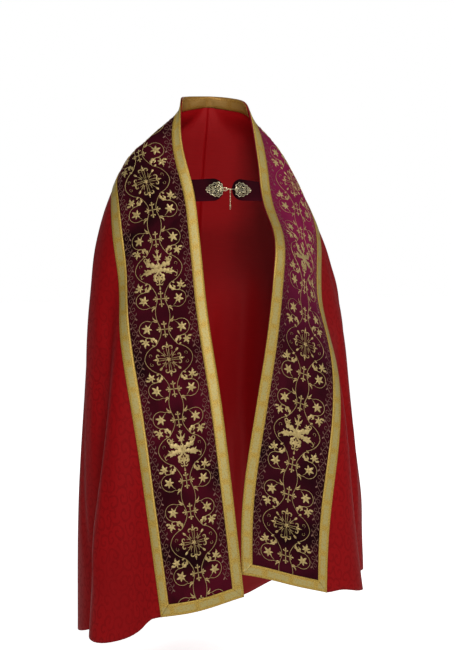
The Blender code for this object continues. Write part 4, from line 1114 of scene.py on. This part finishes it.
def filigree_lines():
    """The casting's wires on the leaf: rim, inner rib, mirrored curls and midrib."""
    turn = np.linspace(-pi, pi, FILIGREE_POINTS)
    lines = [leaf_outline(turn), leaf_outline(turn, lobed=False) * 0.76]
    for x, y, radius, first, sweep in ((-0.36, 0.42, 0.30, -150, 420), (0.16, 0.30, 0.22, -200, 400),
                                       (-0.74, 0.16, 0.13, 60, 360), (0.52, 0.13, 0.12, -120, 300)):
        curl = arc((x, y), (radius, radius * 0.35), first, first + sweep, FILIGREE_POINTS)
        lines += [curl, curl * np.array([1, -1])]
    lines.append(np.linspace((-0.92, 0.0), (0.98, 0.0), FILIGREE_POINTS))
    return np.stack(lines)


def clasp_middle():
    """The y of the middle of the hook's bend, in front of the tabs' ends."""
    return TAB_END[LEFT][1] - TAB_THICKNESS / 2 - HOOK_STAND


def in_plate(side, inset):
    """A point inside a plate, at a distance from the tab's rounded end."""
    return before_tab(side, inset, 0.0, TAB_THICKNESS / 2 + WIRE_ROOT)


def eye_path():
    """Long round-ended loop of wire, flat to the front, cast into the wearer's right plate."""
    root = in_plate(RIGHT, EYE_ROOT)
    tip = np.array([EYE_TIP_X, clasp_middle() - EYE_BEHIND, TAB_END[RIGHT][2]])
    run = tip - root
    share = EYE_HALF_HEIGHT / np.linalg.norm(run)
    turn = np.linspace(-pi / 2, pi / 2, 9)[:, None]
    rise = np.array([0, 0, EYE_HALF_HEIGHT]) * np.sin(turn)
    round_off = run * share * (1 - np.cos(turn))
    loop = np.concatenate([tip - round_off + rise, root + round_off - rise])
    return np.vstack([loop, loop[:1]])


def hook_path():
    """Hook from the wearer's left plate: out in front, round the eye's end, back behind it."""
    y, z = clasp_middle(), TAB_END[LEFT][2]
    bend = [(x, y + HOOK_HALF_DEPTH * share, z) for x, share in HOOK_SHAPE]
    return [in_plate(LEFT, inset) for inset in HOOK_ROOTS] + bend


pale_brass = brass_finish("pale_brass", "#fff6d8", "#bfb280")
for side, word, wire, path in ((RIGHT, "right", "eye_", eye_path()), (LEFT, "left", "hook_", hook_path())):
    curls = filigree_lines()
    thick = np.array([0.00095, 0.0006] + [0.00075] * (len(curls) - 3) + [0.0008])[:, None]
    filigree = add_brass("filigree_" + word, tubes(on_plate(side, curls[..., 0], curls[..., 1]), thick))
    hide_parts("plate_" + word)
    add_brass(wire + word, tubes(smooth_path(path, WIRE_POINTS)[None], WIRE_RADIUS, 10))
    tips = leaf_outline(np.arange(PLATE_LOBES) * 2 * pi / PLATE_LOBES)
    spots = np.vstack([tips, [[-0.36, 0.42], [-0.36, -0.42], [0.16, 0.30], [0.16, -0.30], [-0.1, 0.0]]])
    add_brass("rim_beads_" + word, balls(on_plate(side, spots[:, 0], spots[:, 1]), 0.0014))

# ---- Chain drop ---------------------------------------------------------------------------------
# A short length of fine oval-link chain with a bead near its end, all of brass, hangs by a ring from
# the hook. Each link is a quarter turn from the last, and the ring is round.

DROP_TOP = np.array([0.0142, -0.2069, -0.2500])
DROP_LENGTH, LINK_COUNT = 0.046, 9
RING_RADIUS, LINK_HALF_WIDTH, LINK_OVERLAP = 0.0030, 0.0012, 0.0005
BEAD_DOWN, BEAD_RADIUS = 0.0392, 0.0027

turn, link = np.linspace(0, 2 * pi, 25), DROP_LENGTH / LINK_COUNT
paths = [RING_RADIUS * np.stack([0 * turn, np.sin(turn), np.cos(turn)], 1)]
for k in range(LINK_COUNT):
    wide, tall = LINK_HALF_WIDTH * np.sin(turn), (link / 2 + LINK_OVERLAP) * np.cos(turn)
    flat = (0 * turn, wide) if k % 2 else (wide, 0 * turn)
    paths.append(np.stack([*flat, tall - RING_RADIUS - link * (k + 0.5) + 0.0003], 1))
thick = np.array([0.0006] + [0.00042] * LINK_COUNT)[:, None]
drop = add_brass("chain_links", tubes(np.array(paths) + DROP_TOP, thick, 8), "chain_drop")
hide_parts("chain_drop")
add_brass("chain_bead", balls(DROP_TOP - np.array([[0, 0, BEAD_DOWN]]), BEAD_RADIUS), "chain_drop")
